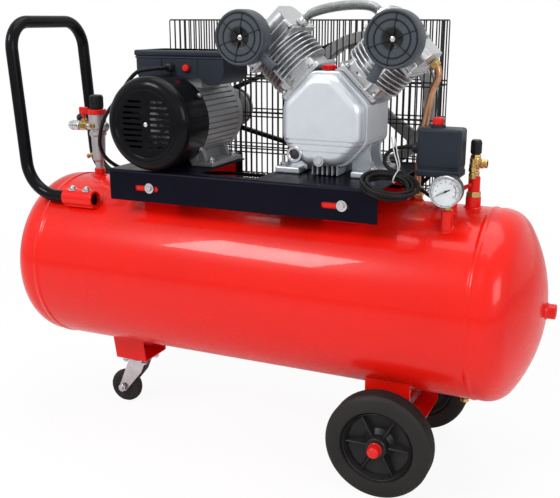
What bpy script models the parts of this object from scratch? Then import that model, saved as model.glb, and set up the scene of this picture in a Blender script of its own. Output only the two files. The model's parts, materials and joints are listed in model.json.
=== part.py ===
"""Belt-driven two-cylinder air compressor on a wheeled horizontal tank.

Metres, +Z up, +X along the tank towards the wheels, -Y towards the front.
Pieces are placed in a frame with the tank's middle over its origin. The root empty
moves that frame so the world origin lies on the floor under the middle of the machine.
"""
import math

import bmesh
import bpy
from mathutils import Matrix, Vector

# Gaps between pieces
FIT = 0.0003            # between pieces that touch
RUN = 0.0006            # between pieces that turn or slide in each other
MERGE = 0.00005

# Tank
TANK_RADIUS = 0.175
TANK_WALL = 0.003
TANK_AXIS_Z = 0.340
SHELL_LENGTH = 0.880
HEAD_FLANGE = 0.015
HEAD_KNUCKLE = 0.054
HEAD_CROWN = 0.280
TANK_STEPS = 28
END_PORT_RADIUS = 0.0135
END_PORT_REACH = 0.0165
END_PORT_DEPTH = 0.014
POST_BITE = 0.004
DRAIN_X = 0.410

# Base plate and its feet
PLATE_LEFT = -0.264
PLATE_RIGHT = 0.2745
PLATE_HALF_DEPTH = 0.150
PLATE_RISE = 0.0464     # top face above the tank
PLATE_SHEET = 0.003
FLANGE_HEIGHT = 0.059
FOOT_X = (-0.183, 0.197)
FOOT_WIDTH = 0.080
FOOT_SHEET = 0.004
FOOT_TUCK = 0.056       # how far the legs run in under the flange
FOOT_RAIL_Y = -0.1365
FOOT_RAIL_WIDTH = 0.012
SLOT_LENGTH = 0.052
SLOT_HEIGHT = 0.011
SLOT_DROP = 0.033
NOTCH_LEFT = -0.083      # open gap between motor and pump, and its wider rear end
NOTCH_RIGHT = 0.040
NOTCH_FRONT = -0.128
NOTCH_STEP = 0.068
NOTCH_REAR_LEFT = -0.128

# Handle and its sockets
HANDLE_RADIUS = 0.0125
SOCKET_RADIUS = 0.0175
SOCKET_BORE = 0.0134
SOCKET_LEFT = -0.397
SOCKET_RIGHT = -0.3257
SOCKET_ANGLE = math.radians(38)
HANDLE_BEND_X = -0.422
HANDLE_BEND = 0.070
HANDLE_LEAN = math.radians(4.0)
HANDLE_HEIGHT = 0.833
HANDLE_CORNER = 0.055

# Wheels, axle and their bracket
WHEEL_X = 0.291
WHEEL_RADIUS = 0.100
WHEEL_WIDTH = 0.0476
WHEEL_Y = 0.1495
WHEEL_STEPS = 20
RIM_RADIUS = 0.066
AXLE_RADIUS = 0.010
AXLE_END = 0.006        # room for the end cap's spring ring past the hub
CAP_RADIUS = 0.0125
CAP_LENGTH = 0.014
BRACKET_SHEET = 0.003
AXLE_BRACKET_WIDTH = 0.085
AXLE_BRACKET_Y = 0.112
AXLE_BRACKET_DROP = 0.017

# Caster
CASTER_X = -0.312
CASTER_TRAIL = 0.040
CASTER_RADIUS = 0.0375
CASTER_WIDTH = 0.024
CASTER_STEPS = 16
CASTER_PIN = 0.004
CASTER_BRACKET_LEFT = -0.348
CASTER_BRACKET_RIGHT = -0.272
CASTER_BRACKET_Z = 0.1195
CASTER_BRACKET_TOP_Y = 0.056
CASTER_BRACKET_BOTTOM_Y = 0.041
CASTER_PLATE = 0.064
CASTER_PLATE_SHEET = 0.003
RACE_RADIUS = 0.021
RACE_HEIGHT = 0.006
FORK_SHEET = 0.0028
FORK_HALF_WIDTH = 0.0155
FORK_CROWN_RADIUS = 0.023

# Motor
MOTOR_X = -0.170
MOTOR_RISE = 0.0896     # shaft above the plate
HOUSING_RADIUS = 0.074
FIN_TIP_RADIUS = 0.079
FIN_COUNT = 10
HOUSING_FRONT = -0.083
HOUSING_REAR = 0.070
HOUSING_BORE = 0.052
HOUSING_WALL = 0.007
MOTOR_FOOT_X = 0.084
MOTOR_FOOT_Y = 0.062
MOTOR_FOOT_HEIGHT = 0.011
SHIELD_REAR = 0.105
COWL_RADIUS = 0.0875
COWL_FRONT = -0.166
COWL_REAR = -0.078
COWL_WALL = 0.0022
COWL_EDGE = 0.014
VENT_COUNT = 5
VENT_PITCH = 0.018
VENT_HEIGHT = 0.006
VENT_INNER = 0.013
VENT_OUTER = 0.060
MOTOR_SHAFT_RADIUS = 0.009
ROTOR_RADIUS = 0.050
FAN_RADIUS = 0.070
FAN_BLADES = 6
FAN_HUB = 0.020
FAN_HALF_DEPTH = 0.012
FAN_DISC = 0.002
FAN_SETBACK = 0.016     # behind the front end of the shaft
SHAFT_SETBACK = 0.030   # front end of the shaft behind the cowl
ROTOR_FRONT_GAP = 0.026
ROTOR_REAR_GAP = 0.012
BOX_LEFT = -0.247
BOX_RIGHT = -0.056
BOX_FRONT = -0.068
BOX_REAR = 0.032
BOX_TOP_RISE = 0.115    # above the shaft
BOX_MID_RISE = 0.0815
BOX_END_RISE = 0.067
BOX_END_RADIUS = 0.027
BOX_WALL = 0.0025
BOX_PAD_INSET = 0.012
LID_HEIGHT = 0.015
LID_OVERHANG = 0.003
BUTTON_X = -0.1345
BUTTON_RADIUS = 0.0065
BUTTON_RISE = 0.0985
GLAND_X = -0.170
GLAND_RADIUS = 0.0085
GLAND_LENGTH = 0.014
MOTOR_LEAD_RADIUS = 0.0038
LEAD_RUN_Y = 0.066

# Drive
BELT_Y = 0.192
BELT_WIDTH = 0.012
BELT_THICKNESS = 0.009
BELT_SEAT = 0.0015
PULLEY_RADIUS = 0.042
FLYWHEEL_RADIUS = 0.140
FLYWHEEL_WIDTH = 0.034
FLYWHEEL_RIM = 0.020
FLYWHEEL_WEB = 0.010
FLYWHEEL_HUB = 0.030
FLYWHEEL_HOLES = 5
FLYWHEEL_HOLE = 0.026
FLYWHEEL_STEPS = 18

# Pump
PUMP_X = 0.143
PUMP_RISE = 0.1146      # crank axis above the plate
CASE_FRONT = -0.060
CASE_REAR = 0.062
CASE_HALF_WIDTH = 0.0805
CASE_FACE = 0.070       # crank axis to the cylinder face
CASE_TOP_HALF = 0.025
CASE_SUMP = 0.096
CASE_WALL = 0.006
CASE_FOOT_HALF = 0.099
COVER_FRONT = -0.087
COVER_INSET = 0.004
COVER_WALL = 0.005
COVER_EDGE = 0.012
CRANK_RADIUS = 0.0125
CRANK_THROW = 0.020
CRANK_PIN = 0.010
CRANK_WEB_RADIUS = 0.046
CRANK_WEB_FRONT = 0.016
CRANK_WEB_REAR = 0.030
BEARING_RADIUS = 0.030
BEARING_REAR = 0.105
CYLINDER_ANGLE = math.radians(45)
CYLINDER_STAGGER = 0.0056
CYLINDER_BORE = 0.0325
CYLINDER_BARREL = 0.040
CYLINDER_FIN = 0.058
CYLINDER_FINS = 4
CYLINDER_TOP = 0.150    # from the crank axis
CYLINDER_BASE = 0.008
CYLINDER_BASE_HALF = 0.049
CYLINDER_STEPS = 14
ROD_LENGTH = 0.112
ROD_WIDTH = 0.010
ROD_SMALL_END = 0.0095
ROD_BIG_END = 0.017
ROD_SHANK = 0.012
WRIST_PIN = 0.006
PISTON_CROWN = 0.016    # above the wrist pin
PISTON_SKIRT = 0.019    # below the wrist pin
PISTON_WALL = 0.005
HEAD_TOP = 0.213
HEAD_HALF_WIDTH = 0.058
HEAD_HALF_DEPTH = 0.052
HEAD_BLOCK = 0.024
HEAD_FINS = 5
HEAD_FIN_SHEET = 0.008
OIL_PLUG_RADIUS = 0.014
OIL_PLUG_HEIGHT = 0.010
OIL_PLUG_Y = -0.040

# Air filters
FILTER_SIDE = 0.139
FILTER_UP = 0.131
FILTER_RADIUS = 0.0485
FILTER_FRONT = -0.125
FILTER_REAR = -0.090
FILTER_NECK = 0.015
FILTER_DISH = 0.006
SNORKEL_RADIUS = 0.0085
SNORKEL_REACH = 0.080
SNORKEL_LEFT_ANGLE = math.radians(-41)
SNORKEL_RIGHT_ANGLE = math.radians(-120)

# Pipes between the pump and the tank
HOSE_RADIUS = 0.009
HOSE_RIB = 0.0012
HOSE_RIBS = 27
HOSE_BORE = 0.0055
HOSE_ALONG_LEFT = 0.161
HOSE_ALONG_RIGHT = 0.178
HOSE_PULL = 0.022
PIPE_RADIUS = 0.0065
PIPE_Y = 0.030
PIPE_ALONG = 0.182
CHECK_X = 0.293
CHECK_RADIUS = 0.012
CHECK_RISE = 0.012

# Belt guard
GUARD_LEFT = -0.302
GUARD_RIGHT = 0.291
GUARD_RISE = 0.323      # heights from the top of the tank
GUARD_DROP = 0.013
GUARD_RAIL_RISES = (0.200, 0.046)
GUARD_FRONT = 0.1505
GUARD_REAR = 0.236
GUARD_WIRE = 0.003
GUARD_COLUMNS = 3      # gaps between the two shafts
GUARD_HOOPS = 4         # gaps between the hoops round the rim

# Pressure switch and gauge
SWITCH_LEFT = 0.3134
SWITCH_RIGHT = 0.390
SWITCH_FRONT = -0.060
SWITCH_REAR = -0.012
SWITCH_RISE = 0.059     # underside above the tank
SWITCH_HEIGHT = 0.084
SWITCH_EDGE = 0.006
SWITCH_POST_X = 0.372
SWITCH_POST_RADIUS = 0.0115
KNOB_X = 0.3435
KNOB_RADIUS = 0.010
KNOB_HEIGHT = 0.0135
KNOB_LIFT = 0.004
KNOB_STEM = 0.0055
GAUGE_X = 0.378
GAUGE_POST_Y = -0.084
GAUGE_POST_RADIUS = 0.0105
GAUGE_POST_RISE = 0.0095
GAUGE_RISE = 0.045      # centre above the tank
GAUGE_RADIUS = 0.0275
GAUGE_FRONT = -0.112
GAUGE_REAR = -0.078
GAUGE_DISH = 0.005
GAUGE_STEM = 0.006
NEEDLE_LENGTH = 0.018
NEEDLE_ANGLE = math.radians(-117)

# Outlet on the right
RISER_X = 0.404
RISER_RADIUS = 0.0135
RISER_RISE = 0.036
RISER_PIPE_RADIUS = 0.0055
RISER_PIPE_RISE = 0.066
OUTLET_RADIUS = 0.010
OUTLET_HEIGHT = 0.028
OUTLET_REACH = 0.022
OUTLET_BORE = 0.005
OUTLET_KNOB_RADIUS = 0.0098
OUTLET_KNOB_HEIGHT = 0.026
SAFETY_RADIUS = 0.0062
SAFETY_HEIGHT = 0.034
SAFETY_SIDE = 0.022

# Filter-regulator on the left
REGULATOR_X = -0.395
REGULATOR_POST_RADIUS = 0.0115
REGULATOR_POST_RISE = 0.0155
REGULATOR_FOOT = 0.032  # heights above the tank
REGULATOR_WAIST = 0.088
REGULATOR_SHOULDER = 0.140
REGULATOR_FOOT_RADIUS = 0.012
REGULATOR_TOP_RADIUS = 0.020
REGULATOR_KNOB_RADIUS = 0.0145
REGULATOR_KNOB_HEIGHT = 0.030
COUPLER_RISE = 0.104
COUPLER_RADIUS = 0.0105
COUPLER_REACH = 0.070
COUPLER_BORE = 0.0045
TAP_REACH = 0.034
TAP_STEM = 0.0035
TAP_HEIGHT = 0.030
TAP_WING = 0.022

# Mains lead
CORD_RADIUS = 0.0034
CORD_GLAND_RADIUS = 0.0095
CORD_GLAND_LENGTH = 0.014
CORD_GLAND_RISE = 0.1057
LEAD_STRAIGHT = 0.004
LEAD_PULL_OUT = 0.050
LEAD_PULL_IN = 0.035
COIL_X = 0.2865
COIL_Y = -0.133
COIL_Z = 0.568
COIL_TILT = math.radians(12)
COIL_LEAN = math.radians(12)
COIL_RADIUS = 0.0525
COIL_PITCH = 0.0092
COIL_LAYER = 0.0092
COIL_POINTS = 24
TAIL_PULL_OUT = 0.040
TAIL_PULL_IN = 0.060
PLUG_X = 0.342
PLUG_Y = 0.020
PLUG_RISE = 0.0103
PLUG_LENGTH = 0.040
PLUG_RADIUS = 0.014
PLUG_PIN_RADIUS = 0.0024
PLUG_PIN_LENGTH = 0.019
PLUG_PIN_SPREAD = 0.0095

# Heights that follow from the sizes above
TANK_TOP = TANK_AXIS_Z + TANK_RADIUS
PLATE_TOP = TANK_TOP + PLATE_RISE
GUARD_TOP = TANK_TOP + GUARD_RISE
GUARD_BOTTOM = TANK_TOP - GUARD_DROP
MOTOR_Z = PLATE_TOP + MOTOR_RISE
PUMP_Z = PLATE_TOP + PUMP_RISE
AXLE_Z = WHEEL_RADIUS * math.cos(math.pi / WHEEL_STEPS)
CASTER_AXLE_Z = CASTER_RADIUS * math.cos(math.pi / CASTER_STEPS)
HUB_END = WHEEL_Y + WHEEL_WIDTH / 2
CROWN_OFFSET = math.sqrt((HEAD_CROWN - HEAD_KNUCKLE) ** 2 - (TANK_RADIUS - HEAD_KNUCKLE) ** 2)
HEAD_DEPTH = HEAD_FLANGE + HEAD_CROWN - CROWN_OFFSET
HEAD_END = SHELL_LENGTH / 2 + FIT + HEAD_DEPTH
FLYWHEEL_PITCH = FLYWHEEL_RADIUS - BELT_THICKNESS / 2
PULLEY_PITCH = PULLEY_RADIUS - BELT_THICKNESS / 2
WRIST_AT_REST = CRANK_THROW * math.cos(CYLINDER_ANGLE) + math.sqrt(
    ROD_LENGTH ** 2 - (CRANK_THROW * math.sin(CYLINDER_ANGLE)) ** 2)
ROD_LEAN = math.asin(CRANK_THROW * math.sin(CYLINDER_ANGLE) / ROD_LENGTH)

# Turns that lay a piece's own Z along another axis
ALONG_X = (0, math.pi / 2, 0)
ALONG_Y = (-math.pi / 2, 0, 0)
FACING_FRONT = (math.pi / 2, 0, 0)           # flat outline stands in the XZ plane
FACING_SIDE = (math.pi / 2, 0, math.pi / 2)  # flat outline stands in the YZ plane

# Finish: colour, roughness, metallic
FINISHES = {
    "red_paint": ((0.62, 0.02, 0.02, 1), 0.25, 0.0),
    "black_paint": ((0.015, 0.015, 0.017, 1), 0.35, 0.0),
    "grey_paint": ((0.10, 0.10, 0.11, 1), 0.45, 0.0),
    "black_plastic": ((0.02, 0.02, 0.024, 1), 0.45, 0.0),
    "red_plastic": ((0.60, 0.03, 0.02, 1), 0.35, 0.0),
    "rubber": ((0.02, 0.02, 0.02, 1), 0.75, 0.0),
    "zinc": ((0.62, 0.63, 0.65, 1), 0.35, 1.0),
    "steel": ((0.45, 0.46, 0.48, 1), 0.35, 1.0),
    "cast_iron": ((0.16, 0.16, 0.17, 1), 0.60, 0.6),
    "aluminium": ((0.62, 0.63, 0.64, 1), 0.40, 0.9),
    "brass": ((0.70, 0.48, 0.18, 1), 0.30, 1.0),
    "copper": ((0.72, 0.36, 0.22, 1), 0.30, 1.0),
    "white_dial": ((0.85, 0.85, 0.83, 1), 0.40, 0.0),
}

for old in list(bpy.data.objects):
    bpy.data.objects.remove(old)


def new_collection(name):
    collection = bpy.data.collections.new(name)
    bpy.context.scene.collection.children.link(collection)
    return collection


PARTS = new_collection("air_compressor")
TOOLS = new_collection("cutters")
ROOT = bpy.data.objects.new("assembly", None)
PARTS.objects.link(ROOT)
ROOT.location = ((HEAD_END - (HEAD_END + END_PORT_REACH)) / 2,
                 (HUB_END + AXLE_END + FIT + CAP_LENGTH - GUARD_REAR) / 2, 0)


def finish(piece, name):
    colour, roughness, metallic = FINISHES[name]
    material = bpy.data.materials.new(f"{piece}_{name}")
    material.use_nodes = True
    surface = material.node_tree.nodes["Principled BSDF"]
    surface.inputs["Base Color"].default_value = colour
    surface.inputs["Roughness"].default_value = roughness
    surface.inputs["Metallic"].default_value = metallic
    material.diffuse_color = colour
    return material


def pivot(name, location):
    """An empty on a joint's axis, to carry a moving piece."""
    empty = bpy.data.objects.new(name, None)
    PARTS.objects.link(empty)
    empty.parent = ROOT
    empty.location = location
    return empty


def node(piece, look, location=(0, 0, 0), rotation=(0, 0, 0), parent=None):
    """Put a finished piece in the assembly."""
    PARTS.objects.link(piece)
    piece.parent = parent or ROOT
    piece.location = location
    piece.rotation_euler = rotation
    piece.data.materials.clear()
    piece.data.materials.append(finish(piece.name, look))
    return piece


def tool(piece, location=(0, 0, 0), rotation=(0, 0, 0), parent=None):
    """Put a shape that is only cut away or joined on in the hidden collection."""
    TOOLS.objects.link(piece)
    piece.parent = parent or ROOT
    piece.location = location
    piece.rotation_euler = rotation
    piece.hide_render = True
    piece.display_type = "WIRE"
    return piece


def combine(piece, other, operation):
    change = piece.modifiers.new(other.name, "BOOLEAN")
    change.solver = "EXACT"
    change.operation = operation
    change.object = other


def cut(piece, other):
    combine(piece, other, "DIFFERENCE")


def join(piece, other):
    combine(piece, other, "UNION")


def soften(piece, width, segments=2, angle=40):
    bevel = piece.modifiers.new("soften", "BEVEL")
    bevel.width = width
    bevel.segments = segments
    bevel.limit_method = "ANGLE"
    bevel.angle_limit = math.radians(angle)


def turned(name, profile, steps, ring=False):
    """A shape turned about its own Z from (radius, height) points, down the outer side."""
    mesh = bpy.data.meshes.new(name)
    edges = [(i, i + 1) for i in range(len(profile) - 1)]
    if ring:
        edges.append((len(profile) - 1, 0))
    mesh.from_pydata([(r, 0, h) for r, h in profile], edges, [])
    piece = bpy.data.objects.new(name, mesh)
    screw = piece.modifiers.new("turn", "SCREW")
    screw.axis = "Z"
    screw.steps = steps
    screw.render_steps = steps
    screw.use_merge_vertices = True
    screw.merge_threshold = MERGE
    screw.use_smooth_shade = True
    return piece


def rod(name, radius, length, steps):
    half = length / 2
    return turned(name, [(0, half), (radius, half), (radius, -half), (0, -half)], steps)


def block(name, boxes):
    """One mesh of boxes, each given as its low corner and its high corner."""
    work = bmesh.new()
    for low, high in boxes:
        size = Vector(high) - Vector(low)
        middle = (Vector(high) + Vector(low)) / 2
        bmesh.ops.create_cube(work, size=1, matrix=Matrix.Translation(middle) @ Matrix.Diagonal((*size, 1)))
    mesh = bpy.data.meshes.new(name)
    work.to_mesh(mesh)
    work.free()
    return bpy.data.objects.new(name, mesh)


def as_mesh(curve):
    """The closed mesh of a curve object, welded, under the same name."""
    bpy.context.scene.collection.objects.link(curve)
    graph = bpy.context.evaluated_depsgraph_get()
    mesh = bpy.data.meshes.new_from_object(curve.evaluated_get(graph))
    work = bmesh.new()
    work.from_mesh(mesh)
    bmesh.ops.remove_doubles(work, verts=work.verts, dist=MERGE)
    bmesh.ops.recalc_face_normals(work, faces=work.faces)
    work.to_mesh(mesh)
    work.free()
    name = curve.name
    bpy.data.objects.remove(curve)
    return bpy.data.objects.new(name, mesh)


def extruded(name, loops, thickness):
    """A plate from a flat outline and any holes in it, its thickness centred on its own Z."""
    curve = bpy.data.curves.new(name, "CURVE")
    curve.dimensions = "2D"
    curve.fill_mode = "BOTH"
    curve.extrude = thickness / 2
    for loop in loops:
        spline = curve.splines.new("POLY")
        spline.points.add(len(loop) - 1)
        for point, place in zip(spline.points, loop):
            point.co = (*place, 0, 1)
        spline.use_cyclic_u = True
    return as_mesh(bpy.data.objects.new(name, curve))


def tube(name, path, radius, resolution, radii=None):
    """A round tube along a path, with its ends closed."""
    curve = bpy.data.curves.new(name, "CURVE")
    curve.dimensions = "3D"
    curve.bevel_depth = radius
    curve.bevel_resolution = resolution
    curve.use_fill_caps = True
    spline = curve.splines.new("POLY")
    spline.points.add(len(path) - 1)
    for i, place in enumerate(path):
        spline.points[i].co = (*place, 1)
        spline.points[i].radius = radii[i] if radii else 1
    return bpy.data.objects.new(name, curve)


def arc(centre, radius, start, end, steps):
    return [(centre[0] + radius * math.cos(start + (end - start) * i / steps),
             centre[1] + radius * math.sin(start + (end - start) * i / steps)) for i in range(steps + 1)]


def smooth(knots, count):
    """Evenly spread points on the smooth curve through the knots."""
    knots = [Vector(k) for k in knots]
    padded = [knots[0] * 2 - knots[1], *knots, knots[-1] * 2 - knots[-2]]
    dense = []
    for i in range(1, len(padded) - 2):
        a, b, c, d = padded[i - 1:i + 3]
        for k in range(24):
            t = k / 24
            dense.append(0.5 * (2 * b + (c - a) * t + (2 * a - 5 * b + 4 * c - d) * t ** 2
                                + (3 * b - a - 3 * c + d) * t ** 3))
    dense.append(knots[-1])
    return spread(dense, count)


def spread(dense, count):
    """The given number of points at even steps along a dense path."""
    lengths = [0.0]
    for a, b in zip(dense, dense[1:]):
        lengths.append(lengths[-1] + (Vector(b) - Vector(a)).length)
    points = []
    j = 0
    for i in range(count):
        goal = lengths[-1] * i / (count - 1)
        while j < len(dense) - 2 and lengths[j + 1] < goal:
            j += 1
        part = (goal - lengths[j]) / max(lengths[j + 1] - lengths[j], 1e-9)
        points.append(Vector(dense[j]).lerp(Vector(dense[j + 1]), part))
    return points


def swing(start, leaving, end, arriving, count):
    """Evenly spread points on one easy bend, with the pull on it at each end."""
    near, far = start + leaving, end - arriving
    dense = []
    for i in range(97):
        t = i / 96
        dense.append(start * (1 - t) ** 3 + near * 3 * t * (1 - t) ** 2
                     + far * 3 * t ** 2 * (1 - t) + end * t ** 3)
    return spread(dense, count)


def tank_height(y, depth=0.0):
    """Height of the top of the tank at a distance from its middle, or of a point inside its wall."""
    return TANK_AXIS_Z + math.sqrt((TANK_RADIUS - depth) ** 2 - y ** 2)


def tank_shape(name):
    """The tank's outline with a fitting gap, to cut saddles with."""
    shape = rod(name, TANK_RADIUS + FIT, SHELL_LENGTH, TANK_STEPS)
    return tool(shape, (0, 0, TANK_AXIS_Z), ALONG_X)


def head_profile():
    lean = math.atan2(TANK_RADIUS - HEAD_KNUCKLE, CROWN_OFFSET)
    base = HEAD_FLANGE - CROWN_OFFSET

    def side(inset, steps):
        crown = HEAD_CROWN - inset
        knuckle = HEAD_KNUCKLE - inset
        points = [(0, base + crown), (crown * math.sin(lean / 2), base + crown * math.cos(lean / 2))]
        for i in range(steps + 1):
            turn = lean + (math.pi / 2 - lean) * i / steps
            points.append((TANK_RADIUS - HEAD_KNUCKLE + knuckle * math.sin(turn),
                           HEAD_FLANGE + knuckle * math.cos(turn)))
        points.append((TANK_RADIUS - inset, 0))
        return points
    return side(0, 3) + side(TANK_WALL, 2)[::-1]


def post(name, x, y, radius, top):
    bottom = tank_height(y) - POST_BITE
    return tool(rod(name, radius, top - bottom, 12), (x, y, (top + bottom) / 2))


def build_tank():
    half = SHELL_LENGTH / 2
    inner = TANK_RADIUS - TANK_WALL
    shell = turned("tank_shell", [(TANK_RADIUS, half), (TANK_RADIUS, -half), (inner, -half), (inner, half)],
                   TANK_STEPS, ring=True)
    node(shell, "red_paint", (0, 0, TANK_AXIS_Z), ALONG_X)
    join(shell, post("regulator_post", REGULATOR_X, 0, REGULATOR_POST_RADIUS, TANK_TOP + REGULATOR_POST_RISE))
    join(shell, post("gauge_post", GAUGE_X, GAUGE_POST_Y, GAUGE_POST_RADIUS, TANK_TOP + GAUGE_POST_RISE))
    join(shell, post("switch_post", SWITCH_POST_X, (SWITCH_FRONT + SWITCH_REAR) / 2, SWITCH_POST_RADIUS,
                     TANK_TOP + SWITCH_RISE - FIT))
    join(shell, post("check_valve", CHECK_X, PIPE_Y, CHECK_RADIUS, TANK_TOP + CHECK_RISE))
    riser = turned("riser", [(0, RISER_PIPE_RISE), (RISER_PIPE_RADIUS, RISER_PIPE_RISE),
                             (RISER_PIPE_RADIUS, RISER_RISE), (RISER_RADIUS, RISER_RISE),
                             (RISER_RADIUS, -POST_BITE), (0, -POST_BITE)], 12)
    join(shell, tool(riser, (RISER_X, 0, TANK_TOP)))
    for side in (-1, 1):
        join(shell, handle_socket(f"handle_socket_{side}", side))
    left = turned("tank_head_left", head_profile(), TANK_STEPS)
    node(left, "red_paint", (-half - FIT, 0, TANK_AXIS_Z), (0, -math.pi / 2, 0))
    right = turned("tank_head_right", head_profile(), TANK_STEPS)
    node(right, "red_paint", (half + FIT, 0, TANK_AXIS_Z), ALONG_X)
    port_length = END_PORT_REACH + TANK_WALL
    join(right, tool(rod("end_port", END_PORT_RADIUS, port_length, 12),
                     (HEAD_END + END_PORT_REACH - port_length / 2, 0, TANK_AXIS_Z), ALONG_X))
    cut(right, tool(rod("end_port_bore", END_PORT_RADIUS * 0.6, 2 * END_PORT_DEPTH, 8),
                    (HEAD_END + END_PORT_REACH, 0, TANK_AXIS_Z), ALONG_X))
    drain_top = TANK_AXIS_Z - TANK_RADIUS - FIT
    drain = turned("drain_cock", [(0, 0), (0.011, 0), (0.011, -0.010), (0.006, -0.010), (0.006, -0.016),
                                  (0.008, -0.016), (0.008, -0.023), (0, -0.023)], 10)
    node(drain, "brass", (DRAIN_X, 0, drain_top))


def foot_outline():
    """A bridge over the tank, seen along it."""
    outer = PLATE_HALF_DEPTH - PLATE_SHEET - FIT
    inner = outer - FOOT_SHEET
    top = PLATE_TOP - PLATE_SHEET - FIT
    knee = PLATE_TOP - FLANGE_HEIGHT + FOOT_SHEET
    toe = outer - FOOT_TUCK
    bottom = tank_height(toe, POST_BITE)
    right = [(toe - 3 * FOOT_SHEET, bottom), (toe, bottom), (outer, knee), (outer, top)]
    inside = [(inner, top - FOOT_SHEET), (inner, knee + FOOT_SHEET / 2)]
    return right + [(-x, z) for x, z in reversed(right)] + [(-x, z) for x, z in reversed(inside)] + inside


def build_feet():
    """Two bridges over the tank, tied by a rail under the front edge of the base plate."""
    left, right = FOOT_X
    feet = extruded("base_feet", [foot_outline()], FOOT_WIDTH)
    node(feet, "red_paint", (left, 0, 0), FACING_SIDE)
    join(feet, tool(extruded("right_foot", [foot_outline()], FOOT_WIDTH), (right, 0, 0), FACING_SIDE))
    top = PLATE_TOP - PLATE_SHEET - FIT
    half = FOOT_RAIL_WIDTH / 2
    rail = ((left, FOOT_RAIL_Y - half, top - 0.8 * FOOT_SHEET),
            (right, FOOT_RAIL_Y + half, top - 0.1 * FOOT_SHEET))
    join(feet, tool(block("foot_rail", [rail])))
    cut(feet, tank_shape("feet_saddle"))


def socket_place():
    reach = TANK_RADIUS + SOCKET_RADIUS - TANK_WALL
    return reach * math.sin(SOCKET_ANGLE), TANK_AXIS_Z + reach * math.cos(SOCKET_ANGLE)


def handle_socket(name, side):
    y, z = socket_place()
    half = (SOCKET_RIGHT - SOCKET_LEFT) / 2
    socket = turned(name, [(SOCKET_RADIUS, half), (SOCKET_RADIUS, -half), (SOCKET_BORE, -half),
                           (SOCKET_BORE, half)], 14, ring=True)
    return tool(socket, ((SOCKET_LEFT + SOCKET_RIGHT) / 2, side * y, z), ALONG_X)


def handle_path():
    """From inside the front socket, up the leg, to the middle of the top bar."""
    y, z = socket_place()
    turn = math.pi / 2 - HANDLE_LEAN
    points = [Vector((SOCKET_RIGHT - 0.004, -y, z))]
    for i in range(6):
        angle = turn * i / 5
        points.append(Vector((HANDLE_BEND_X - HANDLE_BEND * math.sin(angle), -y,
                              z + HANDLE_BEND * (1 - math.cos(angle)))))
    up = Vector((-math.sin(HANDLE_LEAN), 0, math.cos(HANDLE_LEAN)))
    rise = (HANDLE_HEIGHT - points[-1].z) / up.z
    corner = points[-1] + up * (rise - HANDLE_CORNER)
    for i in range(5):
        angle = math.pi / 2 * i / 4
        points.append(corner + up * HANDLE_CORNER * math.sin(angle)
                      + Vector((0, HANDLE_CORNER * (1 - math.cos(angle)), 0)))
    return points


def build_handle():
    half = handle_path()
    back = [Vector((p.x, -p.y, p.z)) for p in reversed(half)]
    node(tube("handle", half + back, HANDLE_RADIUS, 2), "black_paint")


def build_plate():
    outer = PLATE_HALF_DEPTH
    inner = outer - PLATE_SHEET
    low = PLATE_TOP - FLANGE_HEIGHT
    under = PLATE_TOP - PLATE_SHEET
    outline = [(-outer, low), (-inner, low), (-inner, under), (inner, under), (inner, low), (outer, low),
               (outer, PLATE_TOP), (-outer, PLATE_TOP)]
    plate = extruded("base_plate", [outline], PLATE_RIGHT - PLATE_LEFT)
    node(plate, "black_paint", ((PLATE_LEFT + PLATE_RIGHT) / 2, 0, 0), FACING_SIDE)
    slot_z = PLATE_TOP - SLOT_DROP
    slots = [((x - SLOT_LENGTH / 2, -outer - 0.01, slot_z - SLOT_HEIGHT / 2),
              (x + SLOT_LENGTH / 2, outer + 0.01, slot_z + SLOT_HEIGHT / 2)) for x in FOOT_X]
    cut(plate, tool(block("plate_slots", slots)))
    beyond = outer + 0.01
    gap = [(NOTCH_LEFT, NOTCH_FRONT), (NOTCH_RIGHT, NOTCH_FRONT), (NOTCH_RIGHT, beyond),
           (NOTCH_REAR_LEFT, beyond),
           (NOTCH_REAR_LEFT, NOTCH_STEP), (NOTCH_LEFT, NOTCH_STEP)]
    cut(plate, tool(extruded("plate_notch", [gap], 2 * FLANGE_HEIGHT), (0, 0, PLATE_TOP - FLANGE_HEIGHT / 2)))


def bracket(name, top_y, bottom_y, bottom, top, left, right):
    """A folded channel under the tank, its legs cut to the tank."""
    sheet = BRACKET_SHEET
    slope = (top_y - bottom_y) / (top - bottom)
    inner_top = top_y - sheet
    inner_bottom = bottom_y - sheet + slope * sheet
    outline = [(-bottom_y, bottom), (bottom_y, bottom), (top_y, top), (inner_top, top),
               (inner_bottom, bottom + sheet), (-inner_bottom, bottom + sheet), (-inner_top, top),
               (-top_y, top)]
    piece = extruded(name, [outline], right - left)
    node(piece, "red_paint", ((left + right) / 2, 0, 0), FACING_SIDE)
    cut(piece, tank_shape(f"{name}_saddle"))
    return piece


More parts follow.
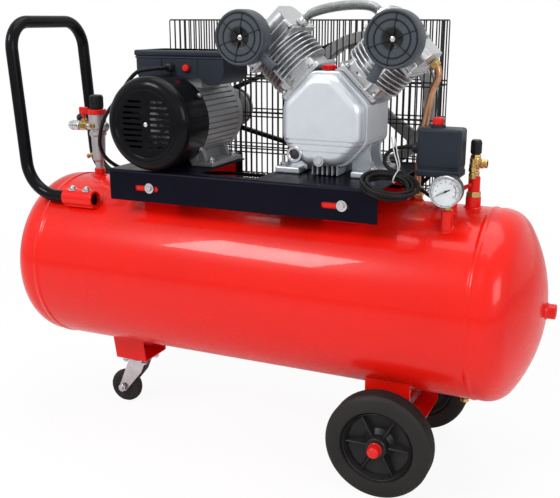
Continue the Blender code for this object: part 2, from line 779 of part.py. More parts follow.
def build_wheels():
    half = AXLE_BRACKET_WIDTH / 2
    piece = bracket("axle_bracket", AXLE_BRACKET_Y, AXLE_BRACKET_Y, AXLE_Z - AXLE_BRACKET_DROP,
                    TANK_AXIS_Z, WHEEL_X - half, WHEEL_X + half)
    cut(piece,
        tool(rod("axle_holes", AXLE_RADIUS + RUN, 4 * AXLE_BRACKET_Y, 16), (WHEEL_X, 0, AXLE_Z), ALONG_Y))
    start = HUB_END + FIT
    tip = start + AXLE_END + CAP_LENGTH
    end = [(0, tip), (0.6 * CAP_RADIUS, tip), (CAP_RADIUS, tip - 0.5 * CAP_LENGTH), (CAP_RADIUS, start),
           (AXLE_RADIUS, start)]
    axle = turned("axle", end + [(r, -y) for r, y in reversed(end)], 16)
    node(axle, "zinc", (WHEEL_X, 0, AXLE_Z), ALONG_Y)
    for side, where in ((-1, "front"), (1, "rear")):
        hinge = pivot(f"wheel_{where}_pivot", (WHEEL_X, side * WHEEL_Y, AXLE_Z))
        facing = (side * -math.pi / 2, 0, 0)
        w = WHEEL_WIDTH / 2
        tyre = turned(f"wheel_tyre_{where}", [
            (RIM_RADIUS + FIT, 0.75 * w), (RIM_RADIUS + 0.008, w), (WHEEL_RADIUS - 0.012, w),
            (WHEEL_RADIUS, 0.65 * w), (WHEEL_RADIUS, -0.65 * w), (WHEEL_RADIUS - 0.012, -w),
            (RIM_RADIUS + 0.008, -w), (RIM_RADIUS + FIT, -0.75 * w)], WHEEL_STEPS, ring=True)
        spin = math.pi / 2 + math.pi / WHEEL_STEPS
        node(tyre, "rubber", (0, 0, 0), facing, hinge)
        tyre.rotation_euler.rotate_axis("Z", spin)
        bore = AXLE_RADIUS + RUN
        hub = turned(f"wheel_hub_{where}", [
            (bore, w), (0.020, w), (0.021, 0.25 * w), (RIM_RADIUS - 0.006, 0.25 * w), (RIM_RADIUS, 0.72 * w),
            (RIM_RADIUS, -0.72 * w), (0.020, -w), (bore, -w)], WHEEL_STEPS, ring=True)
        node(hub, "black_plastic", (0, 0, 0), facing, hinge)
        hub.rotation_euler.rotate_axis("Z", spin)


def build_caster():
    bracket("caster_bracket", CASTER_BRACKET_TOP_Y, CASTER_BRACKET_BOTTOM_Y, CASTER_BRACKET_Z,
            TANK_AXIS_Z * 0.6,
            CASTER_BRACKET_LEFT, CASTER_BRACKET_RIGHT)
    plate_top = CASTER_BRACKET_Z - FIT
    plate_low = plate_top - CASTER_PLATE_SHEET
    half = CASTER_PLATE / 2
    plate = block("caster_plate", [((-half, -half, -CASTER_PLATE_SHEET), (half, half, 0))])
    node(plate, "zinc", (CASTER_X, 0, plate_top))
    join(plate, tool(rod("caster_race", RACE_RADIUS, RACE_HEIGHT + 0.001, 14),
                     (CASTER_X, 0, plate_low - RACE_HEIGHT / 2 + 0.0005)))
    crown_top = plate_low - RACE_HEIGHT - FIT
    hinge = pivot("caster_pivot", (CASTER_X, 0, 0))
    leg_y = FORK_HALF_WIDTH - FORK_SHEET / 2
    tip = (-CASTER_TRAIL, CASTER_AXLE_Z)
    leg_outline = [(FORK_CROWN_RADIUS * 0.9, crown_top), (-FORK_CROWN_RADIUS * 0.9, crown_top),
                   *arc(tip, 0.010, math.pi * 0.90, math.pi * 1.85, 4),
                   (FORK_CROWN_RADIUS * 0.35, crown_top - 0.030)]
    fork = extruded("caster_fork", [leg_outline], FORK_SHEET)
    node(fork, "zinc", (0, -leg_y, 0), FACING_FRONT, hinge)
    far_leg = extruded("caster_fork_far", [leg_outline], FORK_SHEET)
    join(fork, tool(far_leg, (0, leg_y, 0), FACING_FRONT, hinge))
    join(fork, tool(rod("caster_crown", FORK_CROWN_RADIUS, FORK_SHEET, 14),
                    (0, 0, crown_top - FORK_SHEET / 2 - 0.0002),
                    parent=hinge))
    join(fork, tool(rod("caster_pin", CASTER_PIN, 2 * FORK_HALF_WIDTH + 0.008, 10),
                    (-CASTER_TRAIL, 0, CASTER_AXLE_Z), ALONG_Y, hinge))
    w = CASTER_WIDTH / 2
    wheel = turned("caster_wheel", [
        (CASTER_PIN + RUN, w), (0.012, w), (CASTER_RADIUS - 0.005, 0.85 * w), (CASTER_RADIUS, 0.5 * w),
        (CASTER_RADIUS, -0.5 * w), (CASTER_RADIUS - 0.005, -0.85 * w), (0.012, -w), (CASTER_PIN + RUN, -w)],
        CASTER_STEPS, ring=True)
    node(wheel, "rubber", (-CASTER_TRAIL, 0, CASTER_AXLE_Z), ALONG_Y, hinge)
    wheel.rotation_euler.rotate_axis("Z", math.pi / 2 + math.pi / CASTER_STEPS)


def motor_outline():
    """Ribbed outline of the motor housing."""
    points = []
    step = 2 * math.pi / FIN_COUNT
    for i in range(FIN_COUNT):
        middle = i * step
        for radius, share in ((HOUSING_RADIUS, -0.30), (FIN_TIP_RADIUS, -0.16), (FIN_TIP_RADIUS, 0.16),
                              (HOUSING_RADIUS, 0.30)):
            points.append((radius * math.cos(middle + share * step),
                           radius * math.sin(middle + share * step)))
    return points


def build_motor():
    length = HOUSING_REAR - HOUSING_FRONT
    middle = (HOUSING_REAR + HOUSING_FRONT) / 2
    housing = extruded("motor_housing", [motor_outline()], length)
    node(housing, "grey_paint", (MOTOR_X, middle, MOTOR_Z), FACING_FRONT)
    foot_low = PLATE_TOP + FIT
    feet = block("motor_feet", [((-MOTOR_FOOT_X, -MOTOR_FOOT_Y, foot_low),
                                 (MOTOR_FOOT_X, MOTOR_FOOT_Y, foot_low + MOTOR_FOOT_HEIGHT))])
    join(housing, tool(feet, (MOTOR_X, 0, 0)))
    pedestal = block("motor_pedestal", [((-0.055, -0.9 * MOTOR_FOOT_Y, foot_low + 0.002),
                                         (0.055, 0.9 * MOTOR_FOOT_Y, MOTOR_Z - 0.045))])
    join(housing, tool(pedestal, (MOTOR_X, 0, 0)))
    pad = block("box_pad",
                [((BOX_LEFT + 2 * BOX_END_RADIUS, BOX_FRONT + BOX_PAD_INSET, MOTOR_Z + 0.8 * HOUSING_RADIUS),
                             (BOX_RIGHT - 2 * BOX_END_RADIUS, BOX_REAR - BOX_PAD_INSET,
                              MOTOR_Z + BOX_MID_RISE - FIT))])
    join(housing, tool(pad))
    spigot = COWL_RADIUS - COWL_WALL - RUN
    rim = COWL_REAR - HOUSING_FRONT + 0.006
    join(housing,
         tool(rod("fan_end_rim", spigot, rim, 20), (MOTOR_X, HOUSING_FRONT + rim / 2 - 0.0004, MOTOR_Z),
                       ALONG_Y))
    cut(housing, tool(rod("motor_bore", HOUSING_BORE, length, 20),
                      (MOTOR_X, middle + HOUSING_WALL, MOTOR_Z), ALONG_Y))
    cut(housing,
        tool(rod("motor_bearing", MOTOR_SHAFT_RADIUS + RUN, 3 * length, 16), (MOTOR_X, 0, MOTOR_Z), ALONG_Y))
    bore = MOTOR_SHAFT_RADIUS + RUN
    depth = SHIELD_REAR - HOUSING_REAR
    shield = turned("drive_shield", [
        (bore, depth), (0.026, depth), (0.032, depth - 0.006), (0.058, depth - 0.010),
        (FIN_TIP_RADIUS - 0.004, 0.010), (FIN_TIP_RADIUS, 0.008), (FIN_TIP_RADIUS, FIT),
        (HOUSING_BORE + 0.004, FIT),
        (HOUSING_BORE, depth - 0.016), (bore, depth - 0.016)], 14, ring=True)
    node(shield, "grey_paint", (MOTOR_X, HOUSING_REAR, MOTOR_Z), ALONG_Y)
    deep = COWL_REAR - COWL_FRONT
    inner = COWL_RADIUS - COWL_WALL
    cowl = turned("fan_cowl", [
        (0, deep), (COWL_RADIUS - COWL_EDGE, deep), (COWL_RADIUS - 0.3 * COWL_EDGE, deep - 0.3 * COWL_EDGE),
        (COWL_RADIUS, deep - COWL_EDGE), (COWL_RADIUS, 0), (inner, 0), (inner, deep - COWL_EDGE),
        (inner - 0.3 * COWL_EDGE, deep - 0.3 * COWL_EDGE - COWL_WALL), (inner - COWL_EDGE, deep - COWL_WALL),
        (0, deep - COWL_WALL)], 20)
    node(cowl, "black_paint", (MOTOR_X, COWL_REAR, MOTOR_Z), FACING_FRONT)
    vents = []
    for i in range(VENT_COUNT):
        height = (i - (VENT_COUNT - 1) / 2) * VENT_PITCH
        reach = math.sqrt(VENT_OUTER ** 2 - height ** 2)
        for low, high in ((VENT_INNER, reach), (-reach, -VENT_INNER)):
            vents.append(((low, -0.02, height - VENT_HEIGHT / 2), (high, 0.02, height + VENT_HEIGHT / 2)))
    cut(cowl, tool(block("cowl_vents", vents), (MOTOR_X, COWL_FRONT, MOTOR_Z)))
    build_rotor()
    build_terminal_box()


def build_rotor():
    hinge = pivot("motor_pivot", (MOTOR_X, 0, MOTOR_Z))
    r = MOTOR_SHAFT_RADIUS
    front = COWL_FRONT + SHAFT_SETBACK
    rear = BELT_Y + 0.018
    shaft = turned("motor_shaft", [(0, rear), (r, rear), (r, HOUSING_REAR - ROTOR_REAR_GAP),
                                   (ROTOR_RADIUS, HOUSING_REAR - ROTOR_REAR_GAP),
                                   (ROTOR_RADIUS, HOUSING_FRONT + ROTOR_FRONT_GAP),
                                   (r, HOUSING_FRONT + ROTOR_FRONT_GAP),
                                   (r, front), (0, front)], 16)
    node(shaft, "steel", (0, 0, 0), ALONG_Y, hinge)
    fan = turned("cooling_fan", [(r + FIT * 2, FAN_HALF_DEPTH), (FAN_HUB, FAN_HALF_DEPTH),
                                 (FAN_HUB, FAN_DISC - FAN_HALF_DEPTH),
                                 (FAN_RADIUS, FAN_DISC - FAN_HALF_DEPTH),
                                 (FAN_RADIUS, -FAN_HALF_DEPTH), (r + FIT * 2, -FAN_HALF_DEPTH)], 14,
                 ring=True)
    fan_y = front + FAN_SETBACK
    node(fan, "black_plastic", (0, fan_y, 0), FACING_FRONT, hinge)
    blades = block("fan_blade", [((0.9 * FAN_HUB, -0.4 * FAN_DISC, 0.75 * FAN_DISC - FAN_HALF_DEPTH),
                                   (FAN_RADIUS - FAN_DISC, 0.4 * FAN_DISC, FAN_HALF_DEPTH - FAN_DISC))])
    for i in range(FAN_BLADES):
        blade = bpy.data.objects.new(f"fan_blade_{i}", blades.data)
        tool(blade, (0, fan_y, 0), (math.pi / 2, 2 * math.pi * (i + 0.5) / FAN_BLADES, 0), hinge)
        join(fan, blade)
    bpy.data.objects.remove(blades)
    half = BELT_WIDTH / 2 + FIT
    floor = PULLEY_RADIUS - BELT_THICKNESS - BELT_SEAT
    wide = half + 0.006
    pulley = turned("motor_pulley", [
        (r + 2 * FIT, wide), (PULLEY_RADIUS, wide), (PULLEY_RADIUS, half), (floor, half), (floor, -half),
        (PULLEY_RADIUS, -half), (PULLEY_RADIUS, -wide), (r + 2 * FIT, -wide)], 16, ring=True)
    node(pulley, "cast_iron", (0, BELT_Y, 0), ALONG_Y, hinge)


def box_outline(inset, top):
    """Terminal box seen from the front: two round-bottomed ends and a flat middle."""
    radius = BOX_END_RADIUS - inset
    low = MOTOR_Z + BOX_END_RISE + BOX_END_RADIUS
    mid = MOTOR_Z + BOX_MID_RISE + inset
    left = (BOX_LEFT + BOX_END_RADIUS, low)
    right = (BOX_RIGHT - BOX_END_RADIUS, low)
    turn = math.asin(max(-1, min(1, (low - mid) / radius)))
    points = [(BOX_LEFT + inset, top)]
    points += arc(left, radius, math.pi, 2 * math.pi - turn, 7)
    points += arc(right, radius, math.pi + turn, 2 * math.pi, 7)
    points.append((BOX_RIGHT - inset, top))
    return points


def build_terminal_box():
    top = MOTOR_Z + BOX_TOP_RISE
    middle = (BOX_FRONT + BOX_REAR) / 2
    depth = BOX_REAR - BOX_FRONT
    box = extruded("terminal_box", [box_outline(0, top)], depth)
    node(box, "black_plastic", (0, middle, 0), FACING_FRONT)
    hollow = extruded("terminal_hollow", [box_outline(BOX_WALL, top + 0.01)], depth - 2 * BOX_WALL)
    gland_z = MOTOR_Z + BUTTON_RISE
    join(box, tool(rod("motor_gland", GLAND_RADIUS, GLAND_LENGTH, 14),
                   (GLAND_X, BOX_FRONT - GLAND_LENGTH / 2 + BOX_WALL / 2, gland_z), ALONG_Y))
    cut(box, tool(hollow, (0, middle, 0), FACING_FRONT))
    cut(box, tool(rod("button_hole", BUTTON_RADIUS + RUN, 0.03, 16), (BUTTON_X, BOX_FRONT, gland_z), ALONG_Y))
    lid = block("terminal_lid", [((BOX_LEFT - LID_OVERHANG, BOX_FRONT - LID_OVERHANG, top + FIT),
                                  (BOX_RIGHT + LID_OVERHANG, BOX_REAR + LID_OVERHANG,
                                   top + FIT + LID_HEIGHT))])
    node(lid, "black_plastic")
    soften(lid, 0.003)
    button = rod("reset_button", BUTTON_RADIUS, 0.014, 16)
    node(button, "red_plastic", (BUTTON_X, BOX_FRONT - 0.001, gland_z), ALONG_Y)
    node(tube("motor_lead", motor_lead_path(), MOTOR_LEAD_RADIUS, 2), "rubber")


def motor_lead_path():
    """From the terminal box round the cowl, under the plate and up to the back of the switch."""
    start = Vector((GLAND_X, BOX_FRONT - GLAND_LENGTH + BOX_WALL / 2 - FIT, MOTOR_Z + BUTTON_RISE))
    clear = COWL_RADIUS + 0.012

    def beside(angle, reach, y):
        return (MOTOR_X + reach * math.cos(angle), y, MOTOR_Z + reach * math.sin(angle))
    under = (PLATE_TOP - PLATE_SHEET - FOOT_SHEET + tank_height(LEAD_RUN_Y)) / 2
    switch_z = TANK_TOP + SWITCH_RISE + 0.040
    straight = 3 * MOTOR_LEAD_RADIUS
    end = Vector((SWITCH_LEFT + 0.026, SWITCH_REAR + FIT, switch_z))
    first = [start - Vector((0, straight, 0)),
             (GLAND_X - 0.014, start.y - 0.034, start.z - 0.001),
             beside(math.radians(118), clear, start.y - 0.040),
             beside(math.radians(159), clear, start.y - 0.040),
             (PLATE_LEFT - 0.028, start.y - 0.037, MOTOR_Z + 0.002),
             (PLATE_LEFT - 0.046, start.y - 0.030, MOTOR_Z - 0.036),
             (PLATE_LEFT - 0.049, start.y - 0.024, MOTOR_Z - 0.062),
             (PLATE_LEFT - 0.038, start.y - 0.013, PLATE_TOP + 0.003),
             (PLATE_LEFT - 0.014, start.y + 0.014, PLATE_TOP - 0.018),
             (PLATE_LEFT + 0.030, start.y + 0.060, under),
             (PLATE_LEFT + 0.090, 0.040, under),
             (PLATE_LEFT + 0.150, LEAD_RUN_Y, under), (PLATE_LEFT + 0.170, LEAD_RUN_Y, under)]
    last = [(PLATE_RIGHT - 0.040, LEAD_RUN_Y, under), (PLATE_RIGHT - 0.020, LEAD_RUN_Y, under),
            (PLATE_RIGHT + 0.024, LEAD_RUN_Y, under + 0.016), (SWITCH_LEFT + 0.012, 0.056, switch_z - 0.026),
            (SWITCH_LEFT + 0.024, 0.030, switch_z - 0.003), end + Vector((0, straight, 0))]
    return [start, *smooth(first, 22), *smooth(last, 9), end]


def case_outline(inset, feet):
    """Crankcase seen from the front, about the crank axis."""
    half = CASE_HALF_WIDTH - inset
    slope = CASE_FACE * math.sqrt(2) - inset * math.sqrt(2)
    top = slope - CASE_TOP_HALF
    sump = -CASE_SUMP + inset
    right = [(CASE_TOP_HALF, top), (half, slope - half), (half, -0.052)]
    if feet:
        base = -PUMP_RISE + FIT
        right += [(half + 0.002, base + 0.016), (CASE_FOOT_HALF, base + 0.013), (CASE_FOOT_HALF, base),
                  (0.056, base), (0.056, base + 0.010), (0.048, sump)]
    else:
        right += [(0.74 * half, 0.80 * sump), (0.48 * half, sump)]
    return right + [(-x, z) for x, z in reversed(right)]


def cylinder_frame(side):
    """Place and turn of a cylinder: its own Z runs out from the crank axis."""
    return (PUMP_X, side * CYLINDER_STAGGER, PUMP_Z), (0, side * CYLINDER_ANGLE, 0)


def build_crankcase():
    here = (PUMP_X, 0, PUMP_Z)
    depth = CASE_REAR - CASE_FRONT
    middle = (CASE_REAR + CASE_FRONT) / 2
    case = extruded("crankcase", [case_outline(0, True)], depth)
    node(case, "aluminium", (PUMP_X, middle, PUMP_Z), FACING_FRONT)
    boss = BEARING_REAR - CASE_REAR + 0.004
    join(case, tool(rod("bearing_boss", BEARING_RADIUS, boss, 14),
                    (PUMP_X, BEARING_REAR - boss / 2, PUMP_Z), ALONG_Y))
    hollow = extruded("case_hollow", [case_outline(CASE_WALL, False)], depth)
    cut(case, tool(hollow, (PUMP_X, middle - 0.010, PUMP_Z), FACING_FRONT))
    cut(case, tool(rod("crank_bearing", CRANK_RADIUS + RUN, 0.4, 16), here, ALONG_Y))
    for side in (-1, 1):
        place, turn = cylinder_frame(side)
        hole = turned(f"case_mouth_{side}", [(0, CASE_FACE * 1.3), (CYLINDER_BORE + 0.001, CASE_FACE * 1.3),
                                             (CYLINDER_BORE + 0.001, CASE_FACE * 0.5),
                                             (0, CASE_FACE * 0.5)], CYLINDER_STEPS)
        cut(case, tool(hole, place, turn))
    build_cover()
    plug = turned("oil_plug", [(0, OIL_PLUG_HEIGHT), (0.75 * OIL_PLUG_RADIUS, OIL_PLUG_HEIGHT),
                               (OIL_PLUG_RADIUS, 0.7 * OIL_PLUG_HEIGHT),
                               (OIL_PLUG_RADIUS, 0.2 * OIL_PLUG_HEIGHT),
                               (0.7 * OIL_PLUG_RADIUS, 0), (0, 0)], 14)
    top = CASE_FACE * math.sqrt(2) - CASE_TOP_HALF
    node(plug, "red_plastic", (PUMP_X, OIL_PLUG_Y, PUMP_Z + top + FIT))


def build_cover():
    """Domed front cover, flat where it meets the case."""
    rear = CASE_FRONT - FIT
    long = rear - COVER_FRONT + 2 * COVER_EDGE
    cover = extruded("crankcase_cover", [case_outline(COVER_INSET, False)], long)
    node(cover, "aluminium", (PUMP_X, COVER_FRONT + long / 2, PUMP_Z), FACING_FRONT)
    soften(cover, COVER_EDGE, 2, 80)
    wide = 2 * CASE_HALF_WIDTH
    behind = block("cover_trim", [((-wide, rear, -wide), (wide, rear + 3 * COVER_EDGE, wide))])
    cut(cover, tool(behind, (PUMP_X, 0, PUMP_Z)))
    deep = rear - COVER_FRONT
    hollow = extruded("cover_hollow", [case_outline(COVER_INSET + COVER_WALL + COVER_EDGE * 0.4, False)],
                      deep)
    cut(cover, tool(hollow, (PUMP_X, COVER_FRONT + COVER_WALL + deep / 2, PUMP_Z), FACING_FRONT))


def build_crank():
    hinge = pivot("crank_pivot", (PUMP_X, 0, PUMP_Z))
    r = CRANK_RADIUS
    rear = BELT_Y + FLYWHEEL_WIDTH / 2 + 0.004
    shaft = turned("crankshaft",
                   [(0, rear), (r, rear), (r, CRANK_WEB_REAR), (CRANK_WEB_RADIUS, CRANK_WEB_REAR),
                                  (CRANK_WEB_RADIUS, CRANK_WEB_FRONT), (0, CRANK_WEB_FRONT)], 16)
    node(shaft, "steel", (0, 0, 0), ALONG_Y, hinge)
    pin_front = CYLINDER_STAGGER + ROD_WIDTH / 2 + 2 * FIT
    pin = CRANK_WEB_FRONT - pin_front + 0.002
    join(shaft,
         tool(rod("crank_pin", CRANK_PIN, pin, 16), (0, pin_front + pin / 2, CRANK_THROW), ALONG_Y, hinge))
    half = BELT_WIDTH / 2 + FIT
    floor = FLYWHEEL_RADIUS - BELT_THICKNESS - BELT_SEAT
    wide = FLYWHEEL_WIDTH / 2
    rim = floor - FLYWHEEL_RIM + BELT_THICKNESS
    web = FLYWHEEL_WEB / 2
    bore = r + 2 * FIT
    wheel = turned("flywheel", [
        (FLYWHEEL_RADIUS, wide), (FLYWHEEL_RADIUS, half), (floor, half), (floor, -half),
        (FLYWHEEL_RADIUS, -half),
        (FLYWHEEL_RADIUS, -wide), (rim, -wide), (rim, -web), (FLYWHEEL_HUB, -web), (FLYWHEEL_HUB, -wide),
        (bore, -wide), (bore, web), (rim, web), (rim, wide)],
        FLYWHEEL_STEPS, ring=True)
    node(wheel, "cast_iron", (0, BELT_Y, 0), ALONG_Y, hinge)
    ring = (FLYWHEEL_HUB + rim) / 2
    for i in range(FLYWHEEL_HOLES):
        angle = 2 * math.pi * i / FLYWHEEL_HOLES + math.pi / 2
        cut(wheel, tool(rod(f"flywheel_hole_{i}", FLYWHEEL_HOLE, 4 * FLYWHEEL_WEB, 7),
                        (ring * math.cos(angle), BELT_Y, ring * math.sin(angle)), ALONG_Y, hinge))


def belt_loop(offset):
    """The belt's path round both pulleys, moved out from its middle line."""
    gap = Vector((PUMP_X - MOTOR_X, PUMP_Z - MOTOR_Z))
    heading = math.atan2(gap.y, gap.x)
    lean = math.asin((FLYWHEEL_PITCH - PULLEY_PITCH) / gap.length)
    start = heading - math.pi / 2 - lean
    end = heading + math.pi / 2 + lean
    return (arc((PUMP_X, PUMP_Z), FLYWHEEL_PITCH + offset, start, end, 18)
            + arc((MOTOR_X, MOTOR_Z), PULLEY_PITCH + offset, end, start + 2 * math.pi, 8))


def build_belt():
    half = BELT_THICKNESS / 2
    belt = extruded("drive_belt", [belt_loop(half), belt_loop(-half)], BELT_WIDTH)
    node(belt, "rubber", (0, BELT_Y, 0), FACING_FRONT)


def cylinder_profile():
    low = CASE_FACE + 2 * FIT
    points = [(CYLINDER_BORE, CYLINDER_TOP), (CYLINDER_BARREL, CYLINDER_TOP)]
    first = low + CYLINDER_BASE + 0.006
    pitch = (CYLINDER_TOP - first) / CYLINDER_FINS
    for i in reversed(range(CYLINDER_FINS)):
        fin = first + i * pitch
        top = fin + 0.42 * pitch
        points += [(CYLINDER_BARREL, top), (CYLINDER_FIN, top), (CYLINDER_FIN, fin), (CYLINDER_BARREL, fin)]
    return points + [(CYLINDER_BARREL, low + 0.001), (CYLINDER_BORE, low + 0.001)]


def head_outline():
    """Finned head seen from the front, its own Z out from the crank axis."""
    low = CYLINDER_TOP + FIT
    floor = low + HEAD_BLOCK
    half = HEAD_HALF_WIDTH
    points = [(half, low), (half, floor)]
    pitch = (2 * half - HEAD_FIN_SHEET) / (HEAD_FINS - 1)
    for i in reversed(range(HEAD_FINS)):
        x = -half + HEAD_FIN_SHEET / 2 + i * pitch
        top = HEAD_TOP - 0.014 * (abs(x) / half) ** 2
        right = x + HEAD_FIN_SHEET / 2
        left = x - HEAD_FIN_SHEET / 2
        if i < HEAD_FINS - 1:
            points.append((right, floor))
        points += [(right, top), (left, top)]
        if i > 0:
            points.append((left, floor))
    return points + [(-half, low)]


def build_cylinder(side, name):
    place, turn = cylinder_frame(side)
    low = CASE_FACE + 2 * FIT
    half = CYLINDER_BASE_HALF
    cylinder = block(f"cylinder_{name}", [((-half, -half, low), (half, half, low + CYLINDER_BASE))])
    node(cylinder, "aluminium", place, turn)
    join(cylinder,
         tool(turned(f"cylinder_fins_{name}", cylinder_profile(), CYLINDER_STEPS, ring=True), place, turn))
    cut(cylinder,
        tool(rod(f"cylinder_bore_{name}", CYLINDER_BORE, 4 * CASE_FACE, CYLINDER_STEPS), place, turn))
    head = extruded(f"head_{name}", [head_outline()], 2 * HEAD_HALF_DEPTH)
    node(head, "aluminium", (PUMP_X, 0, PUMP_Z), (math.pi / 2, side * CYLINDER_ANGLE, 0))
    out = Vector((math.sin(side * CYLINDER_ANGLE), 0, math.cos(CYLINDER_ANGLE)))
    wrist = Vector(place) + out * WRIST_AT_REST
    slide = pivot(f"piston_{name}_pivot", wrist)
    slide.rotation_euler = turn
    radius = CYLINDER_BORE - RUN
    hollow = radius - PISTON_WALL
    under = ROD_SMALL_END + RUN
    piston = turned(f"piston_{name}", [
        (0, PISTON_CROWN), (radius, PISTON_CROWN), (radius, -PISTON_SKIRT), (hollow, -PISTON_SKIRT),
        (hollow, under), (0, under)], CYLINDER_STEPS)
    node(piston, "aluminium", (0, 0, 0), (0, 0, 0), slide)
    join(piston,
         tool(rod(f"wrist_pin_{name}", WRIST_PIN, 2 * radius - PISTON_WALL, 12), (0, 0, 0), ALONG_Y, slide))
    build_rod(side, name, slide)


def build_rod(side, name, slide):
    """Connecting rod hung on the wrist pin and leaning to the crank pin."""
    shank = ROD_SHANK / 2
    big = arc((0, -ROD_LENGTH), ROD_BIG_END, math.pi / 2 + 0.42, 2.5 * math.pi - 0.42, 10)
    small = arc((0, 0), ROD_SMALL_END, -math.pi / 2 + 0.58, 1.5 * math.pi - 0.58, 8)
    outline = [(shank, -ROD_SMALL_END), *small, (-shank, -ROD_SMALL_END), *big]
    eye = arc((0, 0), WRIST_PIN + RUN, 0, 2 * math.pi * 11 / 12, 11)
    throat = arc((0, -ROD_LENGTH), CRANK_PIN + RUN, 0, 2 * math.pi * 11 / 12, 11)
    con_rod = extruded(f"con_rod_{name}", [outline, eye, throat], ROD_WIDTH)
    node(con_rod, "aluminium", (0, 0, 0), (math.pi / 2, side * ROD_LEAN, 0), slide)


def build_filter(side, name, snorkel_angle):
    x = PUMP_X + side * FILTER_SIDE
    z = PUMP_Z + FILTER_UP
    depth = FILTER_REAR - FILTER_FRONT
    neck = FILTER_REAR - (-HEAD_HALF_DEPTH - FIT)
    r = FILTER_RADIUS
    piece = turned(f"air_filter_{name}", [
        (0, depth - FILTER_DISH), (0.40 * r, depth - FILTER_DISH), (0.55 * r, depth), (r - 0.004, depth),
        (r, depth - 0.004), (r, 0.003), (r - 0.003, 0), (FILTER_NECK, 0), (FILTER_NECK, neck), (0, neck)], 16)
    node(piece, "black_plastic", (x, FILTER_REAR, z), FACING_FRONT)
    start = 0.5 * r
    snout = rod(f"snorkel_{name}", SNORKEL_RADIUS, SNORKEL_REACH - start, 12)
    reach = (SNORKEL_REACH + start) / 2
    y = FILTER_REAR - 0.45 * depth
    join(piece, tool(snout, (x + reach * math.cos(snorkel_angle), y, z + reach * math.sin(snorkel_angle)),
                     (0, math.pi / 2 - snorkel_angle, 0)))


def head_point(side, along, across):
    """A place on a head's side: out along the cylinder, then across it."""
    angle = side * CYLINDER_ANGLE
    out = Vector((math.sin(angle), 0, math.cos(angle)))
    over = Vector((math.cos(angle), 0, -math.sin(angle)))
    return Vector((PUMP_X, 0, PUMP_Z)) + out * along + over * across, over


def hose_path(count):
    """The line of the ribbed hose, with a straight end on each head."""
    start, over = head_point(-1, HOSE_ALONG_LEFT, HEAD_HALF_WIDTH + FIT)
    end, back = head_point(1, HOSE_ALONG_RIGHT, -HEAD_HALF_WIDTH - FIT)
    straight = 2 * HOSE_RADIUS
    a, d = start + over * straight, end - back * straight
    b, c = a + over * HOSE_PULL, d - back * HOSE_PULL
    dense = [start]
    for i in range(81):
        t = i / 80
        dense.append(a * (1 - t) ** 3 + b * 3 * t * (1 - t) ** 2 + c * 3 * t * t * (1 - t) + d * t ** 3)
    dense.append(end)
    return spread(dense, count)


def build_pipes():
    count = 2 * HOSE_RIBS + 1
    path = hose_path(count)
    radii = [1 if i % 2 == 0 else 1 - HOSE_RIB / HOSE_RADIUS for i in range(count)]
    hose = as_mesh(tube("intercooler_hose", path, HOSE_RADIUS, 2, radii))
    node(hose, "steel")
    line = hose_path(17)
    line[0] = line[0] - (line[1] - line[0]).normalized() * 0.01
    line[-1] = line[-1] + (line[-1] - line[-2]).normalized() * 0.01
    cut(hose, tool(as_mesh(tube("hose_bore", line, HOSE_BORE, 2))))
    start, over = head_point(1, PIPE_ALONG, HEAD_HALF_WIDTH + FIT)
    start.y = PIPE_Y
    foot = Vector((CHECK_X, PIPE_Y, TANK_TOP + CHECK_RISE + FIT))
    knots = [start + over * 2 * PIPE_RADIUS, (start.x + 0.010, PIPE_Y, start.z - 0.026),
             (start.x - 0.002, PIPE_Y, start.z - 0.062), (CHECK_X + 0.004, PIPE_Y, foot.z + 0.080),
             foot + Vector((0, 0, 0.020)), foot + Vector((0, 0, 2 * PIPE_RADIUS))]
    node(tube("delivery_pipe", [start, *smooth(knots, 15), foot], PIPE_RADIUS, 2), "copper")


def grille(name, across, up, thickness):
    """A flat grille: bars between the given lines, the outer ones its frame."""
    half = GUARD_WIRE / 2
    low, high = (across[0] - half, up[0] - half), (across[-1] + half, up[-1] + half)
    loops = [[low, (high[0], low[1]), high, (low[0], high[1])]]
    for a, b in zip(across, across[1:]):
        for c, d in zip(up, up[1:]):
            loops.append([(a + half, c + half), (b - half, c + half), (b - half, d - half),
                          (a + half, d - half)])
    return extruded(name, loops, thickness)


